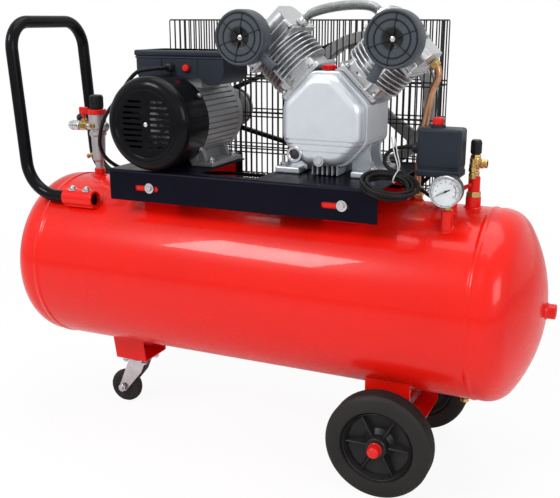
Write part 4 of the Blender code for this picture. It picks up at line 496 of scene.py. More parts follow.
def noise(tree, vector, scale, detail, rough=0.55):
    made = tree.nodes.new("ShaderNodeTexNoise")
    for socket, value in (("Vector", vector), ("Scale", scale), ("Detail", detail), ("Roughness", rough)):
        feed(tree, made.inputs[socket], value)
    return made.outputs["Fac"]


def vary_gloss(tree, start, end, pattern):
    """Roughness that swings by the spread, as a pattern says."""
    low = math_node(tree, "SUBTRACT", start.outputs["Roughness"], start.outputs["Spread"])
    high = math_node(tree, "ADD", start.outputs["Roughness"], start.outputs["Spread"])
    tree.links.new(mapped(tree, pattern, 0.3, 0.7, low, high), end.inputs["Roughness"])


def make_mottle():
    """Patchy colour and gloss, as paint, castings and mouldings have."""
    tree, start, end = node_group("mottle", [
        ("Base", COLOUR, (0.5, 0.5, 0.5, 1)), ("Tint", COLOUR, (0.4, 0.4, 0.4, 1)), ("Scale", NUMBER, 8),
        ("Roughness", NUMBER, 0.4), ("Spread", NUMBER, 0.08)
    ], [("Color", COLOUR), ("Roughness", NUMBER)])
    coords = tree.nodes.new("ShaderNodeTexCoord").outputs["Object"]
    patch = noise(tree, coords, start.outputs["Scale"], 5)
    fine = noise(tree, coords, math_node(tree, "MULTIPLY", start.outputs["Scale"], 9), 4)
    share = mapped(
        tree, math_node(tree, "ADD", patch, math_node(tree, "MULTIPLY", fine, 0.35)), 0.45, 0.95, 0, 1
    )
    tree.links.new(blended(tree, share, start.outputs["Base"], start.outputs["Tint"]), end.inputs["Color"])
    vary_gloss(tree, start, end, fine)
    return tree


def make_grain():
    """Fine unevenness: orange peel on paint, sand marks on castings, texture on mouldings."""
    tree, start, end = node_group(
        "grain", [("Scale", NUMBER, 400), ("Strength", NUMBER, 0.2), ("Depth", NUMBER, 0.0003)],
        [("Normal", VECTOR)]
    )
    coords = tree.nodes.new("ShaderNodeTexCoord").outputs["Object"]
    bump = tree.nodes.new("ShaderNodeBump")
    tree.links.new(noise(tree, coords, start.outputs["Scale"], 3, 0.6), bump.inputs["Height"])
    tree.links.new(start.outputs["Strength"], bump.inputs["Strength"])
    tree.links.new(start.outputs["Depth"], bump.inputs["Distance"])
    tree.links.new(bump.outputs["Normal"], end.inputs["Normal"])
    return tree


def make_dust():
    """A thin veil that settles on faces that look up."""
    tree, start, end = node_group("settled_dust", [
        ("Color", COLOUR, (0.5, 0.5, 0.5, 1)), ("Dust", COLOUR, (0.45, 0.43, 0.40, 1)),
        ("Amount", NUMBER, 0.1)
    ], [("Color", COLOUR)])
    coords = tree.nodes.new("ShaderNodeTexCoord").outputs["Object"]
    parts = tree.nodes.new("ShaderNodeSeparateXYZ")
    tree.links.new(tree.nodes.new("ShaderNodeNewGeometry").outputs["Normal"], parts.inputs[0])
    facing = mapped(tree, parts.outputs["Z"], 0.35, 1.0, 0, 1)
    share = math_node(
        tree, "MULTIPLY", math_node(tree, "MULTIPLY", facing, noise(tree, coords, 60, 6)),
        start.outputs["Amount"]
    )
    tree.links.new(blended(tree, share, start.outputs["Color"], start.outputs["Dust"]), end.inputs["Color"])
    return tree


def make_brushing():
    """Fine lines left by a tool, stretched along one axis."""
    tree, start, end = node_group("tool_lines", [
        ("Stretch", VECTOR, (40, 40, 900)), ("Base", COLOUR, (0.6, 0.6, 0.6, 1)),
        ("Tint", COLOUR, (0.5, 0.5, 0.5, 1)), ("Roughness", NUMBER, 0.3), ("Spread", NUMBER, 0.1),
        ("Depth", NUMBER, 0.0001)
    ], [("Color", COLOUR), ("Roughness", NUMBER), ("Normal", VECTOR)])
    coords = tree.nodes.new("ShaderNodeTexCoord").outputs["Object"]
    scaled = tree.nodes.new("ShaderNodeVectorMath")
    scaled.operation = "MULTIPLY"
    tree.links.new(coords, scaled.inputs[0])
    tree.links.new(start.outputs["Stretch"], scaled.inputs[1])
    lines = noise(tree, scaled.outputs[0], 1.0, 4)
    tree.links.new(
        blended(tree, mapped(tree, lines, 0.3, 0.7, 0, 1), start.outputs["Base"], start.outputs["Tint"]),
        end.inputs["Color"]
    )
    vary_gloss(tree, start, end, lines)
    bump = tree.nodes.new("ShaderNodeBump")
    bump.inputs["Strength"].default_value = 0.3
    tree.links.new(lines, bump.inputs["Height"])
    tree.links.new(start.outputs["Depth"], bump.inputs["Distance"])
    tree.links.new(bump.outputs["Normal"], end.inputs["Normal"])
    return tree


MOTTLE, GRAIN, DUST, TOOL_LINES = make_mottle(), make_grain(), make_dust(), make_brushing()


def placed_group(tree, group, **values):
    """One use of a group of shading nodes, with its inputs filled."""
    made = tree.nodes.new("ShaderNodeGroup")
    made.node_tree = group
    for label, value in values.items():
        feed(tree, made.inputs[label], value)
    return made


def new_finish(name):
    """A new material, its nodes and its shader."""
    finish = bpy.data.materials.new(name)
    finish.use_nodes = True
    return finish, finish.node_tree, finish.node_tree.nodes["Principled BSDF"]


def coated(
    name, base, tint, rough, spread, scale, grain, dust=0.0, metal=0.0, coat=0.0, coat_rough=0.06,
    shine=0.5
):
    """Paint, moulding, rubber or casting: patchy colour, fine grain and a little dust."""
    finish, tree, shader = new_finish(name)
    patch = placed_group(tree, MOTTLE, Base=base, Tint=tint, Scale=scale, Roughness=rough, Spread=spread)
    colour = patch.outputs["Color"]
    if dust:
        colour = placed_group(tree, DUST, Color=colour, Amount=dust).outputs["Color"]
    tree.links.new(colour, shader.inputs["Base Color"])
    tree.links.new(patch.outputs["Roughness"], shader.inputs["Roughness"])
    bump = placed_group(tree, GRAIN, Scale=grain[0], Strength=grain[1], Depth=grain[2])
    tree.links.new(bump.outputs["Normal"], shader.inputs["Normal"])
    shader.inputs["Metallic"].default_value = metal
    shader.inputs["Specular IOR Level"].default_value = shine
    shader.inputs["Coat Weight"].default_value = coat
    shader.inputs["Coat Roughness"].default_value = coat_rough
    return finish


def machined(name, base, tint, rough, stretch=(60, 60, 1200)):
    """Bare metal with tool lines."""
    finish, tree, shader = new_finish(name)
    lines = placed_group(
        tree, TOOL_LINES, Stretch=stretch, Base=base, Tint=tint, Roughness=rough, Spread=0.08, Depth=0.00008
    )
    for label, socket in (("Color", "Base Color"), ("Roughness", "Roughness"), ("Normal", "Normal")):
        tree.links.new(lines.outputs[label], shader.inputs[socket])
    shader.inputs["Metallic"].default_value = 1.0
    return finish


def clear_glass():
    finish, tree, shader = new_finish("gauge_glass")
    patch = placed_group(
        tree, MOTTLE, Base=(0.96, 0.97, 0.97), Tint=(0.92, 0.94, 0.94), Scale=40, Roughness=0.03,
        Spread=0.015
    )
    tree.links.new(patch.outputs["Color"], shader.inputs["Base Color"])
    tree.links.new(patch.outputs["Roughness"], shader.inputs["Roughness"])
    shader.inputs["Transmission Weight"].default_value = 1.0
    shader.inputs["IOR"].default_value = 1.2
    return finish


TANK_ENAMEL = coated(
    "tank_enamel", (0.74, 0.0080, 0.0030), (0.68, 0.0065, 0.0025), 0.30, 0.05, 5,
    (420, 0.04, 0.0003), coat=0.22, coat_rough=0.03, shine=0.16
)
BLACK_ENAMEL = coated(
    "black_enamel", (0.0040, 0.0038, 0.0050), (0.0060, 0.0057, 0.0070), 0.20, 0.05, 8,
    (420, 0.05, 0.0003), coat=0.05, coat_rough=0.04, shine=0.06
)
PLATE_ENAMEL = coated(
    "plate_enamel", (0.0036, 0.0034, 0.0085), (0.0050, 0.0047, 0.0105), 0.34, 0.06, 8,
    (420, 0.06, 0.0003), shine=0.05
)
GUARD_ENAMEL = coated(
    "guard_enamel", (0.007, 0.007, 0.008), (0.012, 0.012, 0.013), 0.38, 0.06, 20,
    (700, 0.10, 0.0002), shine=0.2
)
MOTOR_PAINT = coated(
    "motor_paint", (0.29, 0.30, 0.31), (0.24, 0.248, 0.256), 0.42, 0.08, 14,
    (650, 0.25, 0.0003), dust=0.06, metal=0.35, shine=0.3
)
CHARCOAL_PLASTIC = coated(
    "charcoal_plastic", (0.013, 0.017, 0.027), (0.018, 0.023, 0.034), 0.44, 0.06, 18,
    (1500, 0.22, 0.0002), dust=0.03, shine=0.18
)
FILTER_PLASTIC = coated(
    "filter_plastic", (0.038, 0.046, 0.058), (0.052, 0.061, 0.074), 0.46, 0.06, 18,
    (1500, 0.25, 0.0002), dust=0.03, shine=0.28
)
BLACK_PLASTIC = coated(
    "black_moulding", (0.008, 0.008, 0.009), (0.014, 0.014, 0.015), 0.40, 0.07, 18,
    (1500, 0.22, 0.0002), dust=0.03, shine=0.22
)
RED_MOULDING = coated(
    "red_moulding", (0.68, 0.014, 0.010), (0.58, 0.010, 0.008), 0.32, 0.05, 30,
    (1200, 0.10, 0.0002), shine=0.25
)
CORD_RUBBER = coated(
    "cord_rubber", (0.0055, 0.0052, 0.0055), (0.009, 0.0088, 0.009), 0.40, 0.07, 40,
    (1600, 0.18, 0.0002), shine=0.12
)
TYRE_RUBBER = coated(
    "tyre_rubber", (0.010, 0.0095, 0.0092), (0.017, 0.016, 0.015), 0.60, 0.08, 14,
    (900, 0.40, 0.0004), dust=0.05, shine=0.22
)
CAST_IRON = coated(
    "dark_casting", (0.34, 0.34, 0.345), (0.27, 0.27, 0.275), 0.55, 0.08, 20,
    (800, 0.5, 0.0005), metal=0.6, shine=0.3
)
SAND_CASTING = coated(
    "pale_casting", (0.60, 0.635, 0.675), (0.53, 0.56, 0.60), 0.36, 0.06, 16,
    (1100, 0.25, 0.0003), metal=0.5, shine=0.4
)
BRIGHT_CASTING = coated(
    "bright_casting", (0.52, 0.53, 0.545), (0.45, 0.46, 0.47), 0.32, 0.06, 14,
    (700, 0.07, 0.0002), metal=0.9
)
SATIN_ALUMINIUM = coated(
    "satin_aluminium", (0.46, 0.445, 0.455), (0.38, 0.37, 0.38), 0.38, 0.06, 30,
    (1200, 0.12, 0.0002), metal=0.7
)
ZINC_PLATE = coated(
    "zinc_plate", (0.60, 0.61, 0.63), (0.46, 0.47, 0.49), 0.28, 0.09, 45, (900, 0.12, 0.0002),
    metal=1.0
)
MACHINED_STEEL = machined("machined_steel", (0.50, 0.51, 0.53), (0.38, 0.39, 0.41), 0.28)
HOSE_STEEL = coated(
    "hose_steel", (0.62, 0.63, 0.63), (0.50, 0.51, 0.51), 0.30, 0.07, 60, (900, 0.12, 0.0002),
    metal=1.0
)
TURNED_ALUMINIUM = machined(
    "turned_aluminium", (0.56, 0.56, 0.58), (0.45, 0.45, 0.47), 0.30
)
BRASS = machined("turned_brass", (0.60, 0.40, 0.15), (0.44, 0.28, 0.10), 0.26)
COPPER = machined("copper_tube", (0.58, 0.32, 0.19), (0.40, 0.20, 0.11), 0.32, stretch=(40, 40, 40))
DIAL_CARD = coated(
    "dial_card", (0.80, 0.82, 0.84), (0.76, 0.78, 0.80), 0.45, 0.05, 50, (900, 0.05, 0.0001)
)
DIAL_INK = coated(
    "dial_ink", (0.02, 0.02, 0.025), (0.04, 0.04, 0.05), 0.5, 0.05, 80,
    (900, 0.05, 0.0001), shine=0.2
)
DIAL_RED = coated(
    "dial_red", (0.34, 0.02, 0.025), (0.28, 0.015, 0.02), 0.5, 0.05, 80, (900, 0.05, 0.0001),
    shine=0.2
)
TIE_PLASTIC = coated(
    "tie_plastic", (0.60, 0.58, 0.62), (0.48, 0.47, 0.50), 0.45, 0.06, 60,
    (1200, 0.15, 0.0002)
)
LENS = clear_glass()


# Camera and light

def make_stage():
    """The photograph's camera, a pale floor, a white surround and three lamps."""
    camera = bpy.data.objects.new("camera", bpy.data.cameras.new("camera"))
    bpy.context.scene.collection.objects.link(camera)
    way = Vector((
        -math.sin(CAMERA_AZIMUTH) * math.cos(CAMERA_PITCH),
        math.cos(CAMERA_AZIMUTH) * math.cos(CAMERA_PITCH), -math.sin(CAMERA_PITCH)
    ))
    camera.location = CAMERA_PLACE
    camera.rotation_euler = way.to_track_quat("-Z", "Y").to_euler()
    camera.data.lens = CAMERA_LENS
    camera.data.sensor_width = 36
    bpy.context.scene.camera = camera
    bpy.context.scene.view_settings.view_transform = "Standard"

    work = bmesh.new()
    bmesh.ops.create_grid(work, x_segments=1, y_segments=1, size=30)
    mesh = bpy.data.meshes.new("floor")
    work.to_mesh(mesh)
    work.free()
    floor = bpy.data.objects.new("floor", mesh)
    bpy.context.scene.collection.objects.link(floor)
    paper = bpy.data.materials.new("pale_floor")
    paper.use_nodes = True
    tree = paper.node_tree
    shader = tree.nodes["Principled BSDF"]
    shader.inputs["Base Color"].default_value = (0.90, 0.90, 0.90, 1)
    shader.inputs["Roughness"].default_value = 0.8
    glow = tree.nodes.new("ShaderNodeEmission")
    rays = tree.nodes.new("ShaderNodeLightPath")
    mix = tree.nodes.new("ShaderNodeMixShader")
    place = tree.nodes.new("ShaderNodeTexCoord")
    away = tree.nodes.new("ShaderNodeVectorMath")
    away.operation = "LENGTH"
    tree.links.new(place.outputs["Object"], away.inputs[0])
    share = mapped(tree, away.outputs["Value"], 0.9, 2.4, 0.92, 1.0)
    seen = math_node(tree, "MULTIPLY", rays.outputs["Is Camera Ray"], share)
    tree.links.new(seen, mix.inputs[0])
    tree.links.new(shader.outputs[0], mix.inputs[1])
    tree.links.new(glow.outputs[0], mix.inputs[2])
    tree.links.new(mix.outputs[0], tree.nodes["Material Output"].inputs["Surface"])
    mesh.materials.append(paper)

    world = bpy.data.worlds.new("studio")
    bpy.context.scene.world = world
    world.use_nodes = True
    tree = world.node_tree
    shade = tree.nodes["Background"]
    rays = tree.nodes.new("ShaderNodeLightPath")
    seen = math_node(
        tree, "MAXIMUM",
        math_node(tree, "MAXIMUM", rays.outputs["Is Camera Ray"], rays.outputs["Is Glossy Ray"]),
        rays.outputs["Is Transmission Ray"]
    )
    tree.links.new(mapped(tree, seen, 0, 1, 0.42, 1.0), shade.inputs["Strength"])
    shade.inputs["Color"].default_value = (1, 1, 1, 1)
    for name, place, aim, size, power in (
        ("key_light", (-1.3, -2.3, 2.5), (0, 0, 0.45), 0.9, 58),
        ("fill_light", (2.5, -1.7, 1.6), (0.1, 0, 0.45), 1.2, 30),
        ("top_light", (0.2, 0.3, 3.0), (0, 0, 0.4), 2.2, 45)
    ):
        lamp = bpy.data.objects.new(name, bpy.data.lights.new(name, "AREA"))
        bpy.context.scene.collection.objects.link(lamp)
        lamp.data.size = size
        lamp.data.energy = power
        lamp.location = place
        lamp.rotation_euler = (Vector(aim) - Vector(place)).to_track_quat("-Z", "Y").to_euler()


# Mains lead: its route, its plug and its tie

COIL_MIDDLE = Vector((0.2865, -0.133, 0.568))
COIL_TILT = COIL_LEAN = math.radians(12)
COIL_RADIUS, COIL_PITCH = 0.0525, 0.0092
COIL_POINTS = 24
GLAND_LENGTH, GLAND_RISE, LEAD_STRAIGHT = 0.014, 0.1057, 0.004
LEAD_PULL_OUT, LEAD_PULL_IN, TAIL_PULL_OUT, TAIL_PULL_IN = 0.050, 0.035, 0.040, 0.060
PLUG_X, PLUG_Y, PLUG_RISE, PLUG_LENGTH, PLUG_RADIUS = 0.342, 0.020, 0.0103, 0.040, 0.014


def coil_axes():
    """Axes of the coil, which hangs lower at its right end and along its front."""
    along = Vector((math.cos(COIL_TILT), 0, -math.sin(COIL_TILT)))
    across = BACK * math.cos(COIL_LEAN) + along.cross(BACK) * math.sin(COIL_LEAN)
    return along, across, along.cross(across)


def coil_path():
    """Loops wound inwards, one layer down in half a turn, then outwards, with straight ends."""
    along, across, up = coil_axes()
    turns_in, turns_over, turns_out = 2.0, 0.5, 1.5
    points = []
    for i in range(int((turns_in + turns_over + turns_out) * COIL_POINTS) + 1):
        t = i / COIL_POINTS
        inward = min(t, turns_in)
        outward = max(0, t - turns_in - turns_over)
        drop = max(0, min(1, (t - turns_in) / turns_over))
        radius = COIL_RADIUS - COIL_PITCH * (inward - outward)
        level = COIL_PITCH * (0.5 - (3 - 2 * drop) * drop ** 2)
        angle = math.pi / 2 - 2 * math.pi * t
        points.append(
            COIL_MIDDLE + along * radius * math.cos(angle) + across * radius * math.sin(angle) + up * level
        )
    straight = 2 * CORD_RADIUS
    points.insert(0, points[0] - along * straight)
    return points + [points[-1] + along * straight]


def swing(start, leaving, end, arriving, steps):
    """Points on one easy bend, with the pull on it at each end."""
    near, far = start + leaving, end - arriving
    points = []
    for i in range(steps + 1):
        t = i / steps
        points.append(
            start * (1 - t) ** 3 + near * 3 * t * (1 - t) ** 2 + far * 3 * t ** 2 * (1 - t) + end * t ** 3
        )
    return points


def cord_path():
    """From the gland of the switch, round the coil, to the plug."""
    coil = coil_path()
    heading = (coil[1] - coil[0]).normalized()
    start = Vector((SWITCH_LEFT - GLAND_LENGTH - FIT, SWITCH_Y, TANK_TOP + GLAND_RISE))
    lead = spread(
        swing(start + LEFT * LEAD_STRAIGHT, LEFT * LEAD_PULL_OUT, coil[0], heading * LEAD_PULL_IN, 96), 22
    )
    way = (coil[-1] - coil[-2]).normalized()
    back = Vector((PLUG_X, PLUG_Y - FIT, TANK_TOP + PLUG_RISE))
    tail = spread(
        swing(coil[-1], way * TAIL_PULL_OUT, back - BACK * 2 * CORD_RADIUS, BACK * TAIL_PULL_IN, 96), 16
    )
    return [MIDDLE + p for p in [start] + lead + coil[1:] + tail[1:] + [back]]


def make_cord():
    """The mains lead as a curve, with its plug, pins and tie."""
    path = cord_path()
    curve = bpy.data.curves.new("mains_lead", "CURVE")
    curve.dimensions = "3D"
    curve.bevel_depth = CORD_RADIUS
    curve.bevel_resolution = 4
    curve.use_fill_caps = True
    line = curve.splines.new("POLY")
    line.points.add(len(path) - 1)
    for point, place in zip(line.points, path):
        point.co = (*place, 1)
    line.use_smooth = True
    curve.materials.append(CORD_RUBBER)
    cord = bpy.data.objects.new("mains_lead", curve)
    bpy.context.scene.collection.objects.link(cord)
    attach(cord, "chassis")
    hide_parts("cord_lead", "cord_coil")

    low = spot(PLUG_X, PLUG_Y, TANK_TOP + PLUG_RISE)
    r = PLUG_RADIUS
    body = spun([
        (0, 0), (0.52 * r, 0), (0.58 * r, 0.004), (0.52 * r, 0.006), (0.60 * r, 0.008), (0.55 * r, 0.010),
        (0.66 * r, 0.012), (0.9 * r, 0.018), (r, 0.020), (r, PLUG_LENGTH - 0.0015),
        (r - 0.0015, PLUG_LENGTH), (0, PLUG_LENGTH)
    ], low, BACK, 32)
    plug = piece("plug_body", body, BLACK_PLASTIC, replaces="plug")
    pins = merged(*(spun(
        [(0, 0), (0.0024, 0), (0.0024, 0.018), (0.0014, 0.019), (0, 0.019)],
        low + RIGHT * side * 0.0095 + BACK * (PLUG_LENGTH - 0.0005), BACK, 14
    ) for side in (-1, 1)))
    pins = piece("plug_pins", pins, MACHINED_STEEL)

    along, across, up = coil_axes()
    middle = MIDDLE + COIL_MIDDLE + across * (COIL_RADIUS - COIL_PITCH)
    half_wide, half_high = 2.0 * COIL_PITCH, COIL_PITCH / 2 + CORD_RADIUS + 0.0014
    hoop = [
        middle + across * half_wide * math.cos(a) + up * half_high * math.sin(a)
        for a in (2 * math.pi * i / 28 for i in range(28))
    ]
    knot = middle + up * half_high
    ends = [swept(smooth([
        knot, knot + up * 0.012 + along * s * 0.002, knot + UP * 0.030 + along * (s * 0.003 - 0.004),
        knot + UP * 0.056 - along * (0.010 - s * 0.003)
    ], 18), 0.0011, 8) for s in (-1, 1)]
    tie = piece("coil_tie", merged(swept(hoop, 0.0012, 8, loop=True), *ends), TIE_PLASTIC)


# Tank, its fittings and its wheels

def weld_ring(x, y, radius):
    """A weld bead round the foot of an upright post on the tank."""
    path = [
        spot(x + radius * math.cos(a), y + radius * math.sin(a), tank_height(y + radius * math.sin(a)))
        for a in (2 * math.pi * i / 40 for i in range(40))
    ]
    return swept(path, 0.0026, 8, (1.0, 1.12), loop=True)


def post(x, y, radius, top):
    """An upright post on the tank, with its weld."""
    low = tank_height(abs(y) + radius) - 0.003
    return merged(spun(
        [(0, low), (radius, low), (radius, top - 0.0012), (radius - 0.0012, top), (0, top)], spot(x, y, 0),
        UP, 40
    ), weld_ring(x, y, radius))


def make_tank():
    lean = math.atan2(TANK_RADIUS - HEAD_KNUCKLE, CROWN_OFFSET)
    base = TANK_HALF + FIT + HEAD_FLANGE - CROWN_OFFSET
    end = [
        (HEAD_CROWN * math.sin(lean * i / 14), base + HEAD_CROWN * math.cos(lean * i / 14))
        for i in range(15)
    ]
    for i in range(1, 15):
        turn = lean + (math.pi / 2 - lean) * i / 14
        end.append((
            TANK_RADIUS - HEAD_KNUCKLE + HEAD_KNUCKLE * math.sin(turn),
            TANK_HALF + FIT + HEAD_FLANGE + HEAD_KNUCKLE * math.cos(turn)
        ))
    bead = [(TANK_RADIUS - 0.0004, TANK_HALF + 0.007)]
    bead += [
        (TANK_RADIUS + 0.0016 * math.cos(math.pi / 2 * s), TANK_HALF + 0.0055 * -s)
        for s in (-1, -0.6, -0.2, 0.2, 0.6, 1)
    ]
    bead.append((TANK_RADIUS - 0.0004, TANK_HALF - 0.007))
    belt = [(TANK_RADIUS, TANK_HALF * s) for s in (0.95, 0.6, 0.2)]
    half = end + bead + belt
    profile = half + [(r, -x) for r, x in reversed(half)]
    piece(
        "tank_skin", spun(profile, spot(0, 0, TANK_AXIS_Z), RIGHT, 144), TANK_ENAMEL,
        replaces=("tank_shell", "tank_head_left", "tank_head_right"), sharp=50
    )

    face = HEAD_END + PORT_REACH
    r = PORT_RADIUS
    boss = spun([
        (r + 0.005, HEAD_END - 0.006), (r + 0.0025, HEAD_END + 0.0005), (r + 0.0006, HEAD_END + 0.003),
        (r, HEAD_END + 0.004), (r, face - 0.001), (r - 0.001, face), (0.66 * r, face),
        (0.62 * r, face - 0.001), (0.62 * r, face - 0.013), (0, face - 0.013), (0, HEAD_END - 0.006)
    ], spot(0, 0, TANK_AXIS_Z), RIGHT, 48)
    piece("end_port_boss", boss, TANK_ENAMEL)
    turns = [spun([
        (0.50 * r, face - 0.0125 + 0.0018 * i), (0.60 * r, face - 0.0132 + 0.0018 * i),
        (0.60 * r, face - 0.0118 + 0.0018 * i)
    ], spot(0, 0, TANK_AXIS_Z), RIGHT, 32, ring=True) for i in range(6)]
    piece("end_port_thread", merged(*turns), BRASS)

    posts = [
        post(REGULATOR_X, 0, 0.0115, TANK_TOP + REGULATOR_POST_RISE),
        post(GAUGE_X, GAUGE_POST_Y, 0.0105, TANK_TOP + GAUGE_POST_RISE),
        post(RISER_X, 0, 0.0135, TANK_TOP + 0.020), post(SWITCH_POST_X, SWITCH_Y, 0.0115, TANK_TOP + 0.016),
        post(CHECK_X, PIPE_Y, 0.012, TANK_TOP + 0.004)
    ]
    piece("tank_posts", merged(*posts), TANK_ENAMEL)
    sockets, heads = [], []
    for side in (-1, 1):
        here = spot(0, side * SOCKET_Y, SOCKET_Z)
        sockets.append(spun([
            (0.0134, SOCKET_LEFT), (0.0134, SOCKET_RIGHT), (SOCKET_RADIUS - 0.001, SOCKET_RIGHT),
            (SOCKET_RADIUS, SOCKET_RIGHT - 0.001), (SOCKET_RADIUS, SOCKET_LEFT + 0.001),
            (SOCKET_RADIUS - 0.001, SOCKET_LEFT)
        ], here, RIGHT, 40, ring=True))
        for lean_way in (-1, 1):
            angle = SOCKET_ANGLE * side + math.radians(62) * lean_way
            foot = Vector((0, math.sin(angle), math.cos(angle))) * -SOCKET_RADIUS * 0.86
            sockets.append(swept(
                [here + foot + RIGHT * (SOCKET_LEFT + 0.002 + 0.004 * i) for i in range(18)], 0.004, 8,
                (1.0, 1.1)
            ))
        for x in (SOCKET_LEFT + 0.020, SOCKET_RIGHT - 0.018):
            top = Vector((0, math.sin(math.radians(8 * side)), math.cos(math.radians(8 * side))))
            heads.append(bolt(here + RIGHT * x + top * (SOCKET_RADIUS - 0.0006), top, 0.0062))
    piece("handle_sockets", merged(*sockets), TANK_ENAMEL)
    piece("socket_bolts", merged(*heads), ZINC_PLATE)

    bottom = TANK_AXIS_Z - TANK_RADIUS
    drain = merged(spun([
        (0, 0.004), (0.011, 0.004), (0.011, -0.006), (0.0095, -0.0075), (0.006, -0.0085), (0.006, -0.016),
        (0.0085, -0.017), (0.0085, -0.0225), (0.0075, -0.0233), (0, -0.0233)
    ], spot(DRAIN_X, 0, bottom), UP, 32), hexagon(spot(DRAIN_X, 0, bottom - 0.0105), UP, 0.0085, 0.0045))
    piece("tank_drain", drain, BRASS, replaces="drain_cock")
    kept("base_feet", TANK_ENAMEL, 0.0012)
    kept("axle_bracket", TANK_ENAMEL, 0.0015)
    kept("caster_bracket", TANK_ENAMEL, 0.0015)


def handle_path():
    """From inside the front socket, up the leg, to the middle of the top bar."""
    turn = math.pi / 2 - HANDLE_LEAN
    points = [Vector((SOCKET_RIGHT - 0.004, -SOCKET_Y, SOCKET_Z))]
    for i in range(19):
        a = turn * i / 18
        points.append(Vector((
            HANDLE_BEND_X - HANDLE_BEND * math.sin(a), -SOCKET_Y, SOCKET_Z + HANDLE_BEND * (1 - math.cos(a))
        )))
    up = Vector((-math.sin(HANDLE_LEAN), 0, math.cos(HANDLE_LEAN)))
    corner = points[-1] + up * ((HANDLE_HEIGHT - points[-1].z) / up.z - HANDLE_CORNER)
    for i in range(17):
        a = math.pi / 2 * i / 16
        points.append(corner + up * HANDLE_CORNER * math.sin(a) + BACK * HANDLE_CORNER * (1 - math.cos(a)))
    return points


def make_handle():
    half = handle_path()
    path = half + [Vector((p.x, -p.y, p.z)) for p in reversed(half)]
    piece(
        "push_handle", swept([MIDDLE + p for p in path], HANDLE_RADIUS, 32), BLACK_ENAMEL, replaces="handle"
    )


def make_base_plate():
    outer, inner = PLATE_HALF_DEPTH, PLATE_HALF_DEPTH - PLATE_SHEET
    low, under, bend = PLATE_TOP - FLANGE_HEIGHT, PLATE_TOP - PLATE_SHEET, 0.006
    right = [(inner, low), (outer, low)] + arc((outer - bend, PLATE_TOP - bend), bend, 0, math.pi / 2, 6)
    inside = arc((inner - bend / 2, under - bend / 2), bend / 2, math.pi / 2, 0, 4)
    outline = right + [(-y, z) for y, z in reversed(right)] + [(-y, z) for y, z in reversed(inside)] + inside
    move = Matrix.Translation(MIDDLE + RIGHT * PLATE_LEFT) @ SIDEWAYS
    plate = rounded(prism(outline, PLATE_RIGHT - PLATE_LEFT, move), 0.0007, 1, 60)
    slots, bolts = [], []
    r, z = SLOT_HEIGHT / 2, PLATE_TOP - SLOT_DROP
    for x in FOOT_X:
        ring = round_slot(x - SLOT_LENGTH / 2, x + SLOT_LENGTH / 2, z, r, 8)
        slots.append(standing(ring, -outer - 0.01, outer + 0.01))
    for x in (FOOT_X[0] + 0.007, FOOT_X[1] + 0.0135):
        for side in (-1, 1):
            bolts.append(bolt(spot(x, side * (outer - 0.0004), z + 0.001), BACK * side, 0.0065, stud=False))
    beyond = outer + 0.01
    gap = [
        (NOTCH_LEFT, NOTCH_FRONT), (NOTCH_RIGHT, NOTCH_FRONT), (NOTCH_RIGHT, beyond),
        (NOTCH_REAR_LEFT, beyond), (NOTCH_REAR_LEFT, NOTCH_STEP), (NOTCH_LEFT, NOTCH_STEP)
    ]
    plate = carved(plate, prism(gap, 2 * FLANGE_HEIGHT, Matrix.Translation(spot(0, 0, low - 0.01))))
    piece("base_channel", carved(plate, merged(*slots)), PLATE_ENAMEL, replaces="base_plate")
    piece("base_bolts", merged(*bolts), ZINC_PLATE)


def make_wheel(where, side, hinge):
    """A grooved tyre on a dished hub with six spokes, then the cap of its axle, which is given back."""
    out = BACK * side
    w, r = WHEEL_WIDTH / 2, hinge.z
    body = f"wheel_{where}"
    tyre = [
        (RIM_RADIUS + FIT, -0.72 * w), (RIM_RADIUS + 0.003, -0.92 * w), (RIM_RADIUS + 0.008, -w),
        (r - 0.018, -w), (r - 0.016, -0.985 * w), (r - 0.008, -0.95 * w), (r - 0.003, -0.82 * w),
        (r - 0.0006, -0.68 * w)
    ]
    for i in range(-2, 3):
        y = i * 0.25 * w
        tyre += [
            (r, y - 0.062 * w), (r - 0.0042, y - 0.045 * w), (r - 0.0042, y + 0.045 * w), (r, y + 0.062 * w)
        ]
    tyre += [(a, -y) for a, y in reversed(tyre[:8])]
    piece(
        f"tyre_{where}", spun(tyre, hinge, out, 120, ring=True), TYRE_RUBBER, body, f"wheel_tyre_{where}",
        sharp=30
    )
    bore = AXLE_RADIUS + 0.0006
    rim = RIM_RADIUS
    hub = [
        (bore, -w), (0.018, -w), (0.0195, -0.9 * w), (0.022, -0.35 * w), (rim - 0.012, -0.35 * w),
        (rim - 0.004, -0.70 * w), (rim, -0.72 * w), (rim, 0.72 * w), (rim - 0.002, 0.80 * w),
        (rim - 0.004, 0.72 * w), (rim - 0.009, 0.20 * w), (0.030, -0.02 * w), (0.0215, 0.30 * w),
        (0.0195, 0.92 * w), (0.018, 0.99 * w), (bore, 0.99 * w)
    ]

    def spoke():
        rib = prism(
            [(0.019, -0.006), (rim - 0.006, -0.0035), (rim - 0.006, 0.0035), (0.019, 0.006)], 0.62 * w
        )
        for v in rib.verts:
            if v.co.x >= 0.03:
                v.co.z -= 0.01 * w
            if v.co.z > 0.3 * w:
                v.co.y *= 0.35
        return rounded(rib, 0.0008, 1, 25)

    spokes = around(6, spoke, hinge, out)
    piece(
        f"hub_{where}", merged(spun(hub, hinge, out, 96, ring=True), spokes), BLACK_PLASTIC, body,
        f"wheel_hub_{where}"
    )
    start = w + FIT
    tip = start + 0.006 + CAP_LENGTH
    k = CAP_RADIUS
    return spun([
        (AXLE_RADIUS, start), (k, start), (k, start + 0.002), (k - 0.0008, start + 0.0026),
        (k - 0.0008, tip - 0.008), (k - 0.0018, tip - 0.004), (0.66 * k, tip - 0.0012), (0.4 * k, tip),
        (0, tip), (0, start)
    ], hinge, out, 40)


